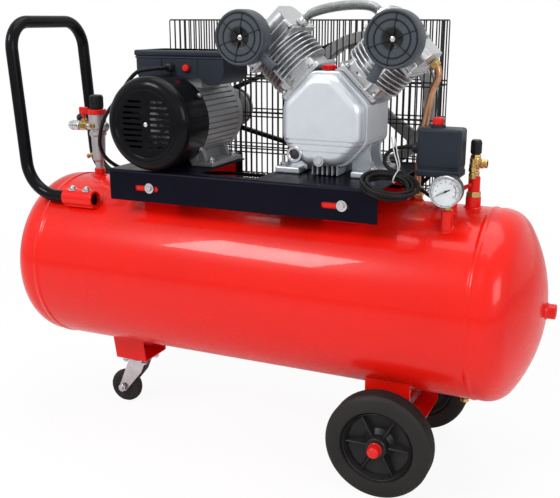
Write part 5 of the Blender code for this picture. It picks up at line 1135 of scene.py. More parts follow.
def make_wheels():
    front, rear = JOINT["wheel_front_spin"], JOINT["wheel_rear_spin"]
    caps = [make_wheel("front", -1, front), make_wheel("rear", 1, rear)]
    piece("axle_caps", merged(*caps), RED_MOULDING)
    reach = BACK * (WHEEL_WIDTH / 2 + 0.004)
    piece("axle_bar", rod(front - reach, rear + reach, AXLE_RADIUS, 32), ZINC_PLATE, replaces="axle")
    hub = JOINT["caster_wheel_spin"]
    r, w = hub.z, CASTER_WIDTH / 2
    wheel = [
        (0.0046, -w), (0.010, -w), (0.0115, -0.86 * w), (0.021, -0.80 * w), (0.0225, -0.92 * w),
        (r - 0.008, -0.94 * w), (r - 0.003, -0.80 * w), (r - 0.0008, -0.45 * w), (r, 0),
        (r - 0.0008, 0.45 * w), (r - 0.003, 0.80 * w), (r - 0.008, 0.94 * w), (0.0225, 0.92 * w),
        (0.021, 0.80 * w), (0.0115, 0.86 * w), (0.010, w), (0.0046, w)
    ]
    piece(
        "caster_tyre", spun(wheel, hub, BACK, 80, ring=True), TYRE_RUBBER, "caster_wheel", "caster_wheel",
        sharp=30
    )
    kept("caster_fork", ZINC_PLATE, 0.0008)
    kept("caster_plate", ZINC_PLATE, 0.0008)
    low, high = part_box("caster_fork")
    ends = [
        bolt(Vector((hub.x, y, hub.z)), BACK * side, 0.0056, stud=side > 0)
        for side, y in ((-1, low.y + 0.0003), (1, high.y - 0.0003))
    ]
    piece("caster_axle_ends", merged(*ends), ZINC_PLATE, "caster_fork")
    low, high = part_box("caster_plate")
    corners = [
        bolt(Vector((x, y, low.z + 0.0002)), DOWN, 0.0048) for x in (low.x + 0.008, high.x - 0.008)
        for y in (low.y + 0.008, high.y - 0.008)
    ]
    piece("caster_plate_bolts", merged(*corners), ZINC_PLATE)


# Motor and belt drive

def make_motor():
    here = spot(MOTOR_X, 0, MOTOR_Z)
    ribs = []
    step = 2 * math.pi / RIB_COUNT
    for i in range(RIB_COUNT):
        for radius, share in (
            (GROOVE_RADIUS, -0.43), (RIB_RADIUS - 0.0006, -0.40), (RIB_RADIUS, -0.32), (RIB_RADIUS, 0.32),
            (RIB_RADIUS - 0.0006, 0.40), (GROOVE_RADIUS, 0.43)
        ):
            a = (i + share) * step
            ribs.append((MOTOR_X + radius * math.cos(a), MOTOR_Z + radius * math.sin(a)))
    barrel = standing(ribs, HOUSING_FRONT + 0.004, HOUSING_REAR - 0.006)
    rear_ring = spun([
        (0.050, HOUSING_REAR - 0.009), (RIB_RADIUS, HOUSING_REAR - 0.009),
        (RIB_RADIUS + 0.0004, HOUSING_REAR - 0.008), (RIB_RADIUS + 0.0004, HOUSING_REAR - 0.001),
        (RIB_RADIUS, HOUSING_REAR), (0.050, HOUSING_REAR)
    ], here, BACK, 80, ring=True)
    front_ring = spun([
        (0.030, HOUSING_FRONT), (0.0845, HOUSING_FRONT), (0.0845, COWL_REAR + 0.004),
        (RIB_RADIUS + 0.0004, COWL_REAR + 0.006), (RIB_RADIUS + 0.0004, COWL_REAR + 0.011),
        (0.030, COWL_REAR + 0.011)
    ], here, BACK, 80, ring=True)
    foot = PLATE_TOP + FIT
    feet = []
    for side in (-1, 1):
        x = MOTOR_X + side * 0.060
        feet.append(slab((x - 0.024, -0.062, foot), (x + 0.024, 0.062, foot + 0.009), 0.0025))
        web = [
            (MOTOR_X + side * 0.030, foot + 0.004), (MOTOR_X + side * 0.066, foot + 0.004),
            (MOTOR_X + side * 0.060, foot + 0.018), (MOTOR_X + side * 0.052, MOTOR_Z - 0.048),
            (MOTOR_X + side * 0.030, MOTOR_Z - 0.060)
        ]
        for y in (-0.052, 0.040):
            feet.append(rounded(standing(web if side > 0 else web[::-1], y, y + 0.012), 0.002, 2))
        feet.append(rounded(standing([
            (MOTOR_X + side * 0.028, foot + 0.004), (MOTOR_X + side * 0.046, foot + 0.004),
            (MOTOR_X + side * 0.046, MOTOR_Z - 0.050), (MOTOR_X + side * 0.028, MOTOR_Z - 0.060)
        ][::side], -0.054, 0.054), 0.002, 2))
    pad = slab(
        (BOX_LEFT + 0.054, BOX_FRONT + 0.012, MOTOR_Z + 0.060),
        (BOX_RIGHT - 0.054, BOX_REAR - 0.012, MOTOR_Z + 0.081), 0.002
    )
    piece(
        "motor_barrel", merged(barrel, rear_ring, front_ring, pad, *feet), MOTOR_PAINT,
        replaces="motor_housing"
    )
    bolts = [
        bolt(spot(MOTOR_X + side * 0.072, y, foot + 0.0088), UP, 0.0065) for side in (-1, 1)
        for y in (-0.046, 0.046)
    ]
    piece("motor_foot_bolts", merged(*bolts), ZINC_PLATE)

    deep = SHIELD_REAR - HOUSING_REAR
    shield = spun([
        (SHAFT_BORE, deep), (0.024, deep), (0.026, deep - 0.002), (0.030, deep - 0.007),
        (0.054, deep - 0.011), (0.062, 0.018), (RIB_RADIUS - 0.004, 0.011), (RIB_RADIUS, 0.008),
        (RIB_RADIUS, FIT), (0.056, FIT), (0.052, deep - 0.016), (SHAFT_BORE, deep - 0.016)
    ], spot(MOTOR_X, HOUSING_REAR, MOTOR_Z), BACK, 80, ring=True)

    def shield_rib():
        rib = prism([
            (0.028, deep - 0.007), (0.028, deep - 0.012), (0.070, 0.008), (0.074, 0.010),
            (0.056, deep - 0.005)
        ], 0.004)
        rib.transform(Matrix.Rotation(math.pi / 2, 4, "X") @ Matrix.Translation((0, 0, -0.002)))
        return rounded(rib, 0.001, 1)

    piece(
        "motor_end_shield",
        merged(shield, around(8, shield_rib, spot(MOTOR_X, HOUSING_REAR, MOTOR_Z), BACK)), MOTOR_PAINT,
        replaces="drive_shield"
    )
    make_cowl()
    make_terminal_box()
    kept("motor_shaft", MACHINED_STEEL)
    kept("cooling_fan", TURNED_ALUMINIUM)
    half = BELT_WIDTH / 2 + FIT
    floor = PULLEY_RADIUS - BELT_THICKNESS - 0.0015
    wide = half + 0.006
    pulley = spun([
        (SHAFT_BORE, wide), (0.016, wide), (0.017, wide - 0.002), (PULLEY_RADIUS - 0.010, wide - 0.002),
        (PULLEY_RADIUS - 0.008, wide), (PULLEY_RADIUS - 0.001, wide), (PULLEY_RADIUS, wide - 0.001),
        (PULLEY_RADIUS, half), (floor, half), (floor, -half), (PULLEY_RADIUS, -half),
        (PULLEY_RADIUS, 0.001 - wide), (PULLEY_RADIUS - 0.001, -wide), (SHAFT_BORE, -wide)
    ], spot(MOTOR_X, BELT_Y, MOTOR_Z), BACK, 64, ring=True)
    piece("motor_pulley_wheel", pulley, CAST_IRON, "motor_rotor", "motor_pulley")


def make_cowl():
    """Hollow fan cowl with slots in its front face, and its screws."""
    deep = COWL_REAR - COWL_FRONT
    r, wall, edge = COWL_RADIUS, 0.0022, 0.0205
    face = 0.0640
    outside = [
        (0, deep - 0.0034), (face - 0.003, deep - 0.0034), (face - 0.001, deep - 0.0026),
        (face + 0.001, deep - 0.0004), (face + 0.003, deep)
    ]
    outside += [
        (r - edge + edge * math.sin(a), deep - edge * (1 - math.cos(a)))
        for a in (math.pi / 2 * i / 10 for i in range(11))
    ]
    outside += [(r, 0.003), (r - 0.0004, 0.0006), (r - 0.001, 0)]
    inside = [(max(x - wall, 0), max(h - wall, 0)) for x, h in outside if h > 0.004]
    cowl = spun(outside + [(r - wall, 0)] + inside[::-1], spot(MOTOR_X, COWL_REAR, MOTOR_Z), FRONT, 112)
    vents = []
    for i in range(-4, 5):
        z = i * 0.0104
        reach = min(math.sqrt(0.056 ** 2 - z ** 2), 0.050)
        for side in (-1, 1):
            ends = sorted((side * 0.0085, side * reach))
            ring = round_slot(*ends, z, 0.0021, 5)
            vents.append(standing(
                [(MOTOR_X + a, MOTOR_Z + b) for a, b in ring], COWL_FRONT - 0.01, COWL_FRONT + 0.012
            ))
    piece("motor_cowl", carved(cowl, merged(*vents)), BLACK_ENAMEL, replaces="fan_cowl", sharp=30)
    screw = spun(
        [(0, 0.0014), (0.003, 0.001), (0.0042, 0), (0.0042, -0.001), (0, -0.001)],
        spot(MOTOR_X, COWL_FRONT + 0.0028, MOTOR_Z), FRONT, 20
    )
    sides = [bolt(
        spot(MOTOR_X + (r - 0.0003) * math.cos(a), COWL_REAR - 0.009, MOTOR_Z + (r - 0.0003) * math.sin(a)),
        (math.cos(a), 0, math.sin(a)), 0.0035, stud=False
    ) for a in (math.radians(d) for d in (35, 145, 215, 325))]
    piece("cowl_screws", merged(screw, *sides), ZINC_PLATE)


def box_outline(top):
    """Terminal box seen from the front: two round-bottomed ends and a flat middle."""
    end, low, middle = 0.027, MOTOR_Z + 0.094, MOTOR_Z + 0.0815
    turn = math.asin((low - middle) / end)
    points = [(BOX_LEFT, top)]
    points += arc((BOX_LEFT + end, low), end, math.pi, 2 * math.pi - turn, 14)
    points += arc((BOX_RIGHT - end, low), end, math.pi + turn, 2 * math.pi, 14)
    return points + [(BOX_RIGHT, top)]


def make_terminal_box():
    """Box and cover on the motor, with the reset button, glands and screws."""
    top = MOTOR_Z + 0.115
    box = rounded(standing(box_outline(top), BOX_FRONT, BOX_REAR), 0.0016, 2, 50)
    rims = []
    for low, high, out in ((top - 0.0002, top + 0.0035, 0.0015), (top + 0.0045, top + 0.0153, 0.003)):
        rims.append(slab(
            (BOX_LEFT - out, BOX_FRONT - out, low), (BOX_RIGHT + out, BOX_REAR + out, high),
            0.0016 if low < top else 0.0032, 3
        ))
    seam = slab((BOX_LEFT, BOX_FRONT, top + 0.003), (BOX_RIGHT, BOX_REAR, top + 0.005))
    ribs = [slab(
        (x - 0.0012, BOX_FRONT - 0.0014, top - 0.030), (x + 0.0012, BOX_FRONT + 0.002, top - 0.001), 0.0006,
        1
    ) for x in (BOX_LEFT + 0.056, BOX_RIGHT - 0.056)]
    piece("terminal_case", merged(box, *ribs), CHARCOAL_PLASTIC, replaces="terminal_box")
    panel = slab(
        (BOX_LEFT + 0.012, BOX_FRONT + 0.010, top + 0.0145),
        (BOX_RIGHT - 0.012, BOX_REAR - 0.010, top + 0.0153), 0.0003, 1
    )
    piece("terminal_cover", merged(*rims, seam, panel), CHARCOAL_PLASTIC, replaces="terminal_lid")
    screws = [spun(
        [(0, 0.0008), (0.0022, 0.0006), (0.003, 0), (0.003, -0.001), (0, -0.001)], spot(x, y, top + 0.0147),
        UP, 16
    ) for x in (BOX_LEFT + 0.006, BOX_RIGHT - 0.006) for y in (BOX_FRONT + 0.006, BOX_REAR - 0.006)]
    piece("terminal_screws", merged(*screws), ZINC_PLATE)
    z = MOTOR_Z + 0.0985
    button = spun(
        [(0, 0.0075), (0.0052, 0.0073), (0.0062, 0.0062), (0.0065, 0.005), (0.0065, -0.0065), (0, -0.0065)],
        spot(RESET_X, BOX_FRONT - 0.001, z), FRONT, 32
    )
    piece("reset_push_button", button, RED_MOULDING, "reset_button", "reset_button")
    collar = spun(
        [(0.0071, -0.001), (0.0098, -0.001), (0.0098, 0.0012), (0.0088, 0.0020), (0.0071, 0.0020)],
        spot(RESET_X, BOX_FRONT, z), FRONT, 32, ring=True
    )
    gland = merged(hexagon(spot(LEAD_GLAND_X, BOX_FRONT + 0.001, z), FRONT, 0.0098, 0.006), spun(
        [(0, 0.004), (0.0085, 0.004), (0.0085, 0.0095), (0.0072, 0.0118), (0.0052, 0.0127), (0, 0.0127)],
        spot(LEAD_GLAND_X, BOX_FRONT, z), FRONT, 32
    ))
    piece("terminal_glands", merged(collar, gland), BLACK_PLASTIC)
    make_motor_lead(z)


def make_motor_lead(gland_z):
    """From the terminal box round the cowl, under the plate and up to the back of the switch."""
    start = Vector((LEAD_GLAND_X, BOX_FRONT - LEAD_GLAND_REACH - FIT, gland_z))
    clear = COWL_RADIUS + 0.012

    def beside(degrees, reach, y):
        a = math.radians(degrees)
        return (MOTOR_X + reach * math.cos(a), y, MOTOR_Z + reach * math.sin(a))

    under = (PLATE_TOP - PLATE_SHEET - 0.004 + tank_height(0.066)) / 2
    straight = 3 * LEAD_RADIUS
    end = Vector((SWITCH_ENTRY_X, SWITCH_REAR + FIT, SWITCH_ENTRY_Z))
    first = [
        start - BACK * straight, (-0.184, start.y - 0.034, start.z - 0.001),
        beside(118, clear, start.y - 0.040), beside(159, clear, start.y - 0.040),
        (PLATE_LEFT - 0.028, start.y - 0.037, MOTOR_Z + 0.002),
        (PLATE_LEFT - 0.046, start.y - 0.030, MOTOR_Z - 0.036),
        (PLATE_LEFT - 0.049, start.y - 0.024, MOTOR_Z - 0.062),
        (PLATE_LEFT - 0.038, start.y - 0.013, PLATE_TOP + 0.003),
        (PLATE_LEFT - 0.014, start.y + 0.014, PLATE_TOP - 0.018),
        (PLATE_LEFT + 0.030, start.y + 0.060, under), (PLATE_LEFT + 0.090, 0.040, under),
        (PLATE_LEFT + 0.150, 0.066, under), (PLATE_LEFT + 0.170, 0.066, under)
    ]
    last = [
        (PLATE_RIGHT - 0.040, 0.066, under), (PLATE_RIGHT - 0.020, 0.066, under),
        (PLATE_RIGHT + 0.024, 0.066, under + 0.016), (SWITCH_LEFT + 0.012, 0.056, SWITCH_ENTRY_Z - 0.026),
        (SWITCH_LEFT + 0.024, 0.030, SWITCH_ENTRY_Z - 0.003), end + BACK * straight
    ]
    path = [start, *smooth(first, 90), *smooth(last, 40), end]
    piece(
        "motor_cable", swept([MIDDLE + p for p in path], LEAD_RADIUS, 14), CORD_RUBBER,
        replaces="motor_lead"
    )


def make_drive():
    here = spot(PUMP_X, BELT_Y, PUMP_Z)
    r, w = FLYWHEEL_RADIUS, FLYWHEEL_WIDTH / 2
    half = BELT_WIDTH / 2 + FIT
    floor = r - BELT_THICKNESS - 0.0015
    rim = spun([
        (r - 0.020, -w), (r - 0.001, -w), (r, 0.001 - w), (r, -half), (floor, -half), (floor, half),
        (r, half), (r, w - 0.001), (r - 0.001, w), (r - 0.020, w), (r - 0.023, w - 0.004),
        (r - 0.023, 0.004 - w)
    ], here, BACK, 120, ring=True)
    hub = spun([
        (CRANK_BORE, -w), (0.028, -w), (0.030, 0.002 - w), (0.031, -0.006), (0.031, 0.006),
        (0.030, w - 0.002), (0.028, w), (CRANK_BORE, w)
    ], here, BACK, 64, ring=True)

    def spoke():
        arm = prism([
            (0.026, -0.016), (0.060, -0.011), (r - 0.020, -0.014), (r - 0.020, 0.014), (0.060, 0.011),
            (0.026, 0.016)
        ], 0.010)
        arm.transform(Matrix.Translation((0, 0, -0.005)))
        return rounded(arm, 0.0025, 2)

    piece(
        "flywheel_casting", merged(rim, hub, around(5, spoke, here, BACK)), CAST_IRON, "crank_assembly",
        "flywheel"
    )
    kept("crankshaft", MACHINED_STEEL)
    gap = Vector((PUMP_X - MOTOR_X, PUMP_Z - MOTOR_Z))
    big, small = r - BELT_THICKNESS / 2, PULLEY_RADIUS - BELT_THICKNESS / 2
    heading, lean = math.atan2(gap.y, gap.x), math.asin((big - small) / gap.length)
    start, end = heading - math.pi / 2 - lean, heading + math.pi / 2 + lean

    def loop(offset):
        return arc(
            (PUMP_X, PUMP_Z), big + offset, start, end, 60
        ) + arc((MOTOR_X, MOTOR_Z), small + offset, end, start + 2 * math.pi, 24)

    half = BELT_THICKNESS / 2
    belt = carved(
        standing(loop(half), BELT_Y - BELT_WIDTH / 2, BELT_Y + BELT_WIDTH / 2),
        standing(loop(-half), BELT_Y - BELT_WIDTH, BELT_Y + BELT_WIDTH)
    )
    piece("v_belt", rounded(belt, 0.0012, 1, 60), CORD_RUBBER, replaces="drive_belt")


# Pump

def case_ring(inset, y, fillet):
    """The crankcase's outline about the crank axis at one depth, with round corners."""
    half = CASE_HALF_WIDTH - inset
    slope = (CASE_FACE - inset) * math.sqrt(2)
    sump = -CASE_SUMP + inset
    top = CASE_TOP_HALF - 0.414 * inset
    right = [
        (top, slope - top), (half, slope - half), (half, -0.052 + 0.45 * inset), (0.74 * half, 0.80 * sump),
        (0.48 * half, sump)
    ]
    return [
        spot(PUMP_X + x, y, PUMP_Z + z)
        for x, z in filleted(right + [(-x, z) for x, z in reversed(right)], fillet)
    ]


def case_dome(inset, front, rear):
    """The cover, with a wide soft front edge."""
    edge, fillet = 0.018, 0.038
    turns = [math.pi / 2 * i / 8 for i in range(9)]
    rings = [case_ring(inset, rear, fillet)]
    rings += [case_ring(
        inset + edge * (1 - math.cos(a)), front + edge * (1 - math.sin(a)),
        fillet - edge * (1 - math.cos(a))
    ) for a in turns]
    return lofted(rings)


def case_bands(front, rear, core):
    """What is cut away for three grooves round a shape with the given core."""
    slabs = [
        slab((PUMP_X - 0.2, front, PUMP_Z + z - 0.0013), (PUMP_X + 0.2, rear, PUMP_Z + z + 0.0013))
        for z in (-0.0465, -0.0545, -0.0665)
    ]
    return carved(merged(*slabs), core)


def case_foot(side):
    """A foot of the crankcase with two hollow-edged webs."""
    base = PUMP_Z - PUMP_RISE + FIT
    ends = sorted((PUMP_X + side * 0.050, PUMP_X + side * CASE_FOOT_HALF))
    parts = [slab((ends[0], CASE_FRONT, base), (ends[1], CASE_REAR, base + 0.012), 0.003, 3)]
    low, pull, high = Vector((
        0.094, base + 0.009
    )), Vector((0.068, base + 0.024)), Vector((0.0795, PUMP_Z - 0.040))
    curve = [low * (1 - t) ** 2 + pull * 2 * t * (1 - t) + high * t * t for t in (i / 10 for i in range(11))]
    web = [(0.044, base + 0.006), *((p.x, p.y) for p in curve), (0.044, PUMP_Z - 0.050)]
    for y in (CASE_FRONT + 0.026, CASE_REAR - 0.036):
        parts.append(rounded(standing([(PUMP_X + side * x, z) for x, z in web], y, y + 0.010), 0.0012, 2, 50))
    return merged(*parts)


def make_crankcase():
    """Body with a narrow sump on two feet, bearing, dome, sight glass, drain plug and filler cap."""
    body = lofted([case_ring(inset, y, 0.020 - inset) for inset, y in (
        (0.003, CASE_FRONT), (0.001, CASE_FRONT + 0.001), (0, CASE_FRONT + 0.003), (0, CASE_REAR - 0.003),
        (0.003, CASE_REAR)
    )])
    core = lofted([case_ring(0.0016, y, 0.018) for y in (CASE_FRONT - 0.05, CASE_REAR + 0.05)])
    body = carved(body, case_bands(CASE_FRONT + 0.004, CASE_REAR - 0.004, core))
    boss = spun([
        (CRANK_BORE, CASE_REAR - 0.004), (0.036, CASE_REAR - 0.004), (0.034, CASE_REAR + 0.004),
        (0.030, CASE_REAR + 0.008), (0.030, 0.103), (0.028, 0.105), (CRANK_BORE, 0.105)
    ], spot(PUMP_X, 0, PUMP_Z), BACK, 64, ring=True)
    base = PUMP_Z - PUMP_RISE + 0.002
    ribs = [slab(
        (PUMP_X + x - 0.0012, CASE_FRONT + 0.001, base),
        (PUMP_X + x + 0.0012, CASE_REAR - 0.010, PUMP_Z - 0.088), 0.0005, 1
    ) for x in (-0.024, -0.0144, -0.0048, 0.0048, 0.0144, 0.024)]
    piece(
        "crankcase_casting", merged(body, boss, case_foot(-1), case_foot(1), *ribs), SAND_CASTING,
        replaces="crankcase"
    )
    bolts = []
    for side in (-1, 1):
        for y in (-0.046, 0.046):
            place = spot(PUMP_X + side * 0.087, y, PLATE_TOP + 0.012)
            bolts += [bolt(place, UP, 0.0065), rod(place, place + UP * 0.020, 0.0033, 14)]
    piece("crankcase_bolts", merged(*bolts), ZINC_PLATE)
    bands = case_bands(
        COVER_FRONT - 0.05, CASE_FRONT + 0.05, case_dome(0.0062, COVER_FRONT + 0.0022, CASE_FRONT + 0.06)
    )
    piece(
        "crankcase_dome", carved(case_dome(0.004, COVER_FRONT, CASE_FRONT - FIT), bands), SAND_CASTING,
        replaces="crankcase_cover", sharp=28
    )
    sight = spot(PUMP_X - 0.047, COVER_FRONT + 0.001, PUMP_Z - 0.0735)
    ring = spun([
        (0.0088, -0.012), (0.0152, -0.012), (0.0152, 0.003), (0.0140, 0.0044), (0.0102, 0.0044),
        (0.0088, 0.003)
    ], sight, FRONT, 40, ring=True)
    drain = merged(hexagon(spot(PUMP_X, COVER_FRONT + 0.001, PUMP_Z - 0.0825), FRONT, 0.0075, 0.007), spun(
        [(0, 0.003), (0.0098, 0.003), (0.0098, -0.010), (0, -0.010)],
        spot(PUMP_X, COVER_FRONT, PUMP_Z - 0.0825), FRONT, 28
    ))
    piece("sight_glass_ring", merged(ring, drain), ZINC_PLATE)
    piece("sight_glass_eye", spun(
        [(0, 0.0030), (0.0050, 0.0026), (0.0089, 0.001), (0.0089, -0.003), (0, -0.003)], sight, FRONT, 32
    ), DIAL_INK)
    top = CASE_FACE * math.sqrt(2) - CASE_TOP_HALF
    low = spot(PUMP_X, -0.040, PUMP_Z + top + FIT)
    plug = spun([
        (0, 0.010), (0.0075, 0.010), (0.0095, 0.0093), (0.0105, 0.008), (0.0105, 0.0025), (0.0098, 0.0018),
        (0.0098, 0), (0, 0)
    ], low, UP, 48)
    grips = around(14, lambda: brick((0.0098, -0.0012, 0.0022), (0.0138, 0.0012, 0.0085), 0.0008, 2), low, UP)
    piece("oil_filler_cap", merged(plug, grips), RED_MOULDING, replaces="oil_plug")


def cylinder_move(side):
    """A cylinder's own Z runs out from the crank axis."""
    return Matrix.Translation(CRANK + BACK * side * CYLINDER_STAGGER) @ Matrix.Rotation(
        side * math.pi / 4, 4, "Y"
    )


def square(half, radius, low, high):
    """A square block with round corners, standing between two heights."""
    ring = filleted([(-half, -half), (half, -half), (half, half), (-half, half)], radius, 5)
    return prism(ring, high - low, Matrix.Translation((0, 0, low)))


def make_cylinder(side, name):
    """Base flange, plain foot with two slots, round fins, and a ridge along the outer front side."""
    low = CASE_FACE + 2 * FIT

    def bored(block, *cuts):
        """A block with the bore and other shapes cut out of it."""
        hole = [(0, low - 0.01), (CYLINDER_BORE, low - 0.01), (CYLINDER_BORE, low + 0.04), (0, low + 0.04)]
        return carved(block, merged(*cuts, spun(hole, steps=64)))

    base = bored(rounded(square(0.049, 0.010, low, low + 0.009), 0.0015, 2, 60))
    slots = [
        brick((-0.016, -0.06, z), (0.002, -0.036, z + 0.0042), 0.0018, 2)
        for z in (low + 0.0135, low + 0.0215)
    ]
    foot = bored(square(0.042, 0.012, low + 0.004, low + 0.030), *slots)
    bore = spun([
        (CYLINDER_BORE, low + 0.002), (0.0405, low + 0.002), (0.0405, CYLINDER_TOP),
        (CYLINDER_BORE, CYLINDER_TOP)
    ], steps=64, ring=True)
    count, first = 6, low + 0.0275
    pitch = (CYLINDER_TOP - first) / count
    r, half = CYLINDER_FIN, 0.0015
    fins = [spun([
        (0.040, z - half - 0.0006), (r - 0.0008, z - half), (r, z - 0.5 * half), (r, z + 0.5 * half),
        (r - 0.0008, z + half), (0.040, z + half + 0.0006)
    ], steps=80, ring=True) for z in (first + i * pitch for i in range(count))]
    collar = spun([
        (0.040, CYLINDER_TOP - 0.004), (r - 0.004, CYLINDER_TOP - 0.003), (r - 0.004, CYLINDER_TOP),
        (0.040, CYLINDER_TOP)
    ], steps=80, ring=True)
    ridge = brick((0.036, -0.0022, low + 0.006), (r + 0.0012, 0.0022, CYLINDER_TOP - 0.001), 0.0008, 1)
    ridge.transform(Matrix.Rotation(math.radians(-90 + 20 * side), 4, "Z"))
    move = cylinder_move(side)
    body = merged(base, foot, bore, *fins, collar, ridge)
    body.transform(move)
    piece(f"cylinder_{name}_fins", body, BRIGHT_CASTING, replaces=f"cylinder_{name}", sharp=30)
    studs = merged(*(
        bolt((x, y, low + 0.0088), UP, 0.0050) for x in (-0.036, 0.036) for y in (-0.0455, 0.0455)
    ))
    studs.transform(move)
    piece(f"cylinder_{name}_nuts", studs, ZINC_PLATE)
    make_head(side, name)


def make_head(side, name):
    """Valve plate, head block, three round-topped chambers across it, and bolts."""
    low = CYLINDER_TOP + FIT
    w, d = HEAD_HALF_WIDTH, HEAD_HALF_DEPTH
    plate = brick((-w, -d, low), (w, d, low + 0.0055), 0.0008, 1)
    gasket = brick((-w + 0.002, -d + 0.002, low + 0.005), (w - 0.002, d - 0.002, low + 0.007))
    block = brick((-w + 0.0015, -d + 0.0015, low + 0.0062), (w - 0.0015, d - 0.0015, low + 0.026), 0.004, 3)
    chambers = []
    reach, corner = d - 0.004, 0.024
    for x in (-0.038, 0, 0.038):
        top = HEAD_TOP - (0.003 if x == 0 else 0.007)
        profile = [(-reach, low + 0.018), (reach, low + 0.018)]
        profile += arc((reach - corner, top - corner), corner, 0, math.pi / 2, 10)
        profile += arc((corner - reach, top - corner), corner, math.pi / 2, math.pi, 10)
        turn = Matrix.Translation((x - 0.0165, 0, 0)) @ SIDEWAYS
        chambers.append(rounded(prism(profile, 0.033, turn), 0.0022, 3, 60))
    body = merged(plate, block, gasket, *chambers)
    move = Matrix.Translation(CRANK) @ Matrix.Rotation(side * math.pi / 4, 4, "Y")
    body.transform(move)
    piece(f"head_{name}_casting", body, BRIGHT_CASTING, replaces=f"head_{name}", sharp=30)
    bolts = merged(*(
        bolt((x, y, low + 0.0058), UP, 0.0045, stud=False) for x in (-0.0535, 0.0535)
        for y in (-0.048, 0.048)
    ))
    bolts.transform(move)
    piece(f"head_{name}_bolts", bolts, ZINC_PLATE)


def make_filter(side, name, snorkel_degrees):
    r, depth = FILTER_RADIUS, FILTER_REAR - FILTER_FRONT
    here = spot(PUMP_X + side * FILTER_SIDE, FILTER_REAR, PUMP_Z + FILTER_UP)
    neck = FILTER_REAR + HEAD_HALF_DEPTH + FIT
    shell = spun([
        (0, depth - 0.0095), (0.10 * r, depth - 0.009), (0.20 * r, depth - 0.0075),
        (0.36 * r, depth - 0.0035), (0.40 * r, depth - 0.003), (0.42 * r, depth - 0.0015),
        (0.60 * r, depth - 0.0015), (0.62 * r, depth - 0.0032), (0.655 * r, depth - 0.0032),
        (0.675 * r, depth - 0.0015), (0.83 * r, depth - 0.0015), (0.85 * r, depth - 0.0032),
        (0.885 * r, depth - 0.0032), (0.905 * r, depth - 0.001), (0.94 * r, depth),
        (0.975 * r, depth - 0.001), (r, depth - 0.004), (r, depth - 0.011), (r - 0.0012, depth - 0.012),
        (r - 0.0012, depth - 0.013), (r, depth - 0.014), (r, 0.003), (r - 0.003, 0), (0.018, 0),
        (0.016, -0.003), (0.015, -0.006), (0.015, neck), (0, neck)
    ], here, FRONT, 96)
    # Black moulding on the filter's face: radial ribs, a cone over the dished middle, and rings set into the
    # shell's two grooves as painted groove shade.
    spokes = around(
        6, lambda: brick((0.13 * r, -0.0008, depth - 0.010), (0.93 * r, 0.0008, depth - 0.0004), 0.0003, 1),
        here, FRONT
    )
    groove_shade_rings = [spun([
        (a * r, depth - 0.0034), (b * r, depth - 0.0034), (b * r, depth - 0.0020), (a * r, depth - 0.0020)
    ], here, FRONT, 80, ring=True) for a, b in ((0.61, 0.645), (0.84, 0.895))]
    cone = spun([
        (0, depth - 0.0088), (0.10 * r, depth - 0.0085), (0.20 * r, depth - 0.0069),
        (0.36 * r, depth - 0.0029), (0.37 * r, depth - 0.0034), (0, depth - 0.010)
    ], here, FRONT, 64)
    lines = merged(spokes, *groove_shade_rings, cone)
    lines.transform(Matrix.Translation(here) @ Matrix.Rotation(
        math.radians(-20), 4, "Y"
    ) @ Matrix.Translation(-here))
    piece(f"air_filter_{name}_lines", lines, BLACK_PLASTIC)
    a = math.radians(snorkel_degrees)
    way = Vector((math.cos(a), 0, math.sin(a)))
    start = here + FRONT * 0.45 * depth
    snout = spun([
        (0.0085, 0.5 * r), (0.0085, 0.076), (0.0090, 0.0765), (0.0090, 0.0795), (0.0086, 0.080),
        (0.0066, 0.080), (0.0064, 0.060), (0, 0.060), (0, 0.5 * r)
    ], start, way, 32)
    piece(
        f"air_filter_{name}_shell", merged(shell, snout), FILTER_PLASTIC, replaces=f"air_filter_{name}",
        sharp=30
    )
    tip = here + FRONT * (depth - 0.0095)
    nut = merged(spun(
        [(0, 0), (0.0052, 0), (0.0042, 0.0045), (0.0026, 0.0050), (0.0026, 0.0075), (0, 0.0075)], tip,
        FRONT, 24
    ), *(nut_wing(tip, s) for s in (-1, 1)))
    piece(f"air_filter_{name}_wing_nut", nut, ZINC_PLATE)


def nut_wing(tip, side):
    """One wing of a wing nut, to its right or its left."""
    wing = prism(
        [(0.002, 0.001), (0.0095, 0.004), (0.012, 0.008), (0.0095, 0.011), (0.0035, 0.0065)][::side], 0.0024
    )
    wing.transform(Matrix.Diagonal((side, 1, 1, 1)))
    bmesh.ops.recalc_face_normals(wing, faces=wing.faces)
    rounded(wing, 0.0005, 1)
    wing.transform(Matrix.Translation(tip) @ Matrix.Rotation(
        math.radians(35), 4, "Y"
    ) @ Matrix.Translation(FRONT * 0.0008))
    return wing


def head_point(side, along, across):
    """A place on a head's side: out along the cylinder, then across it."""
    a = side * math.pi / 4
    out, over = Vector((math.sin(a), 0, math.cos(a))), Vector((math.cos(a), 0, -math.sin(a)))
    return Vector((PUMP_X, 0, PUMP_Z)) + out * along + over * across, over


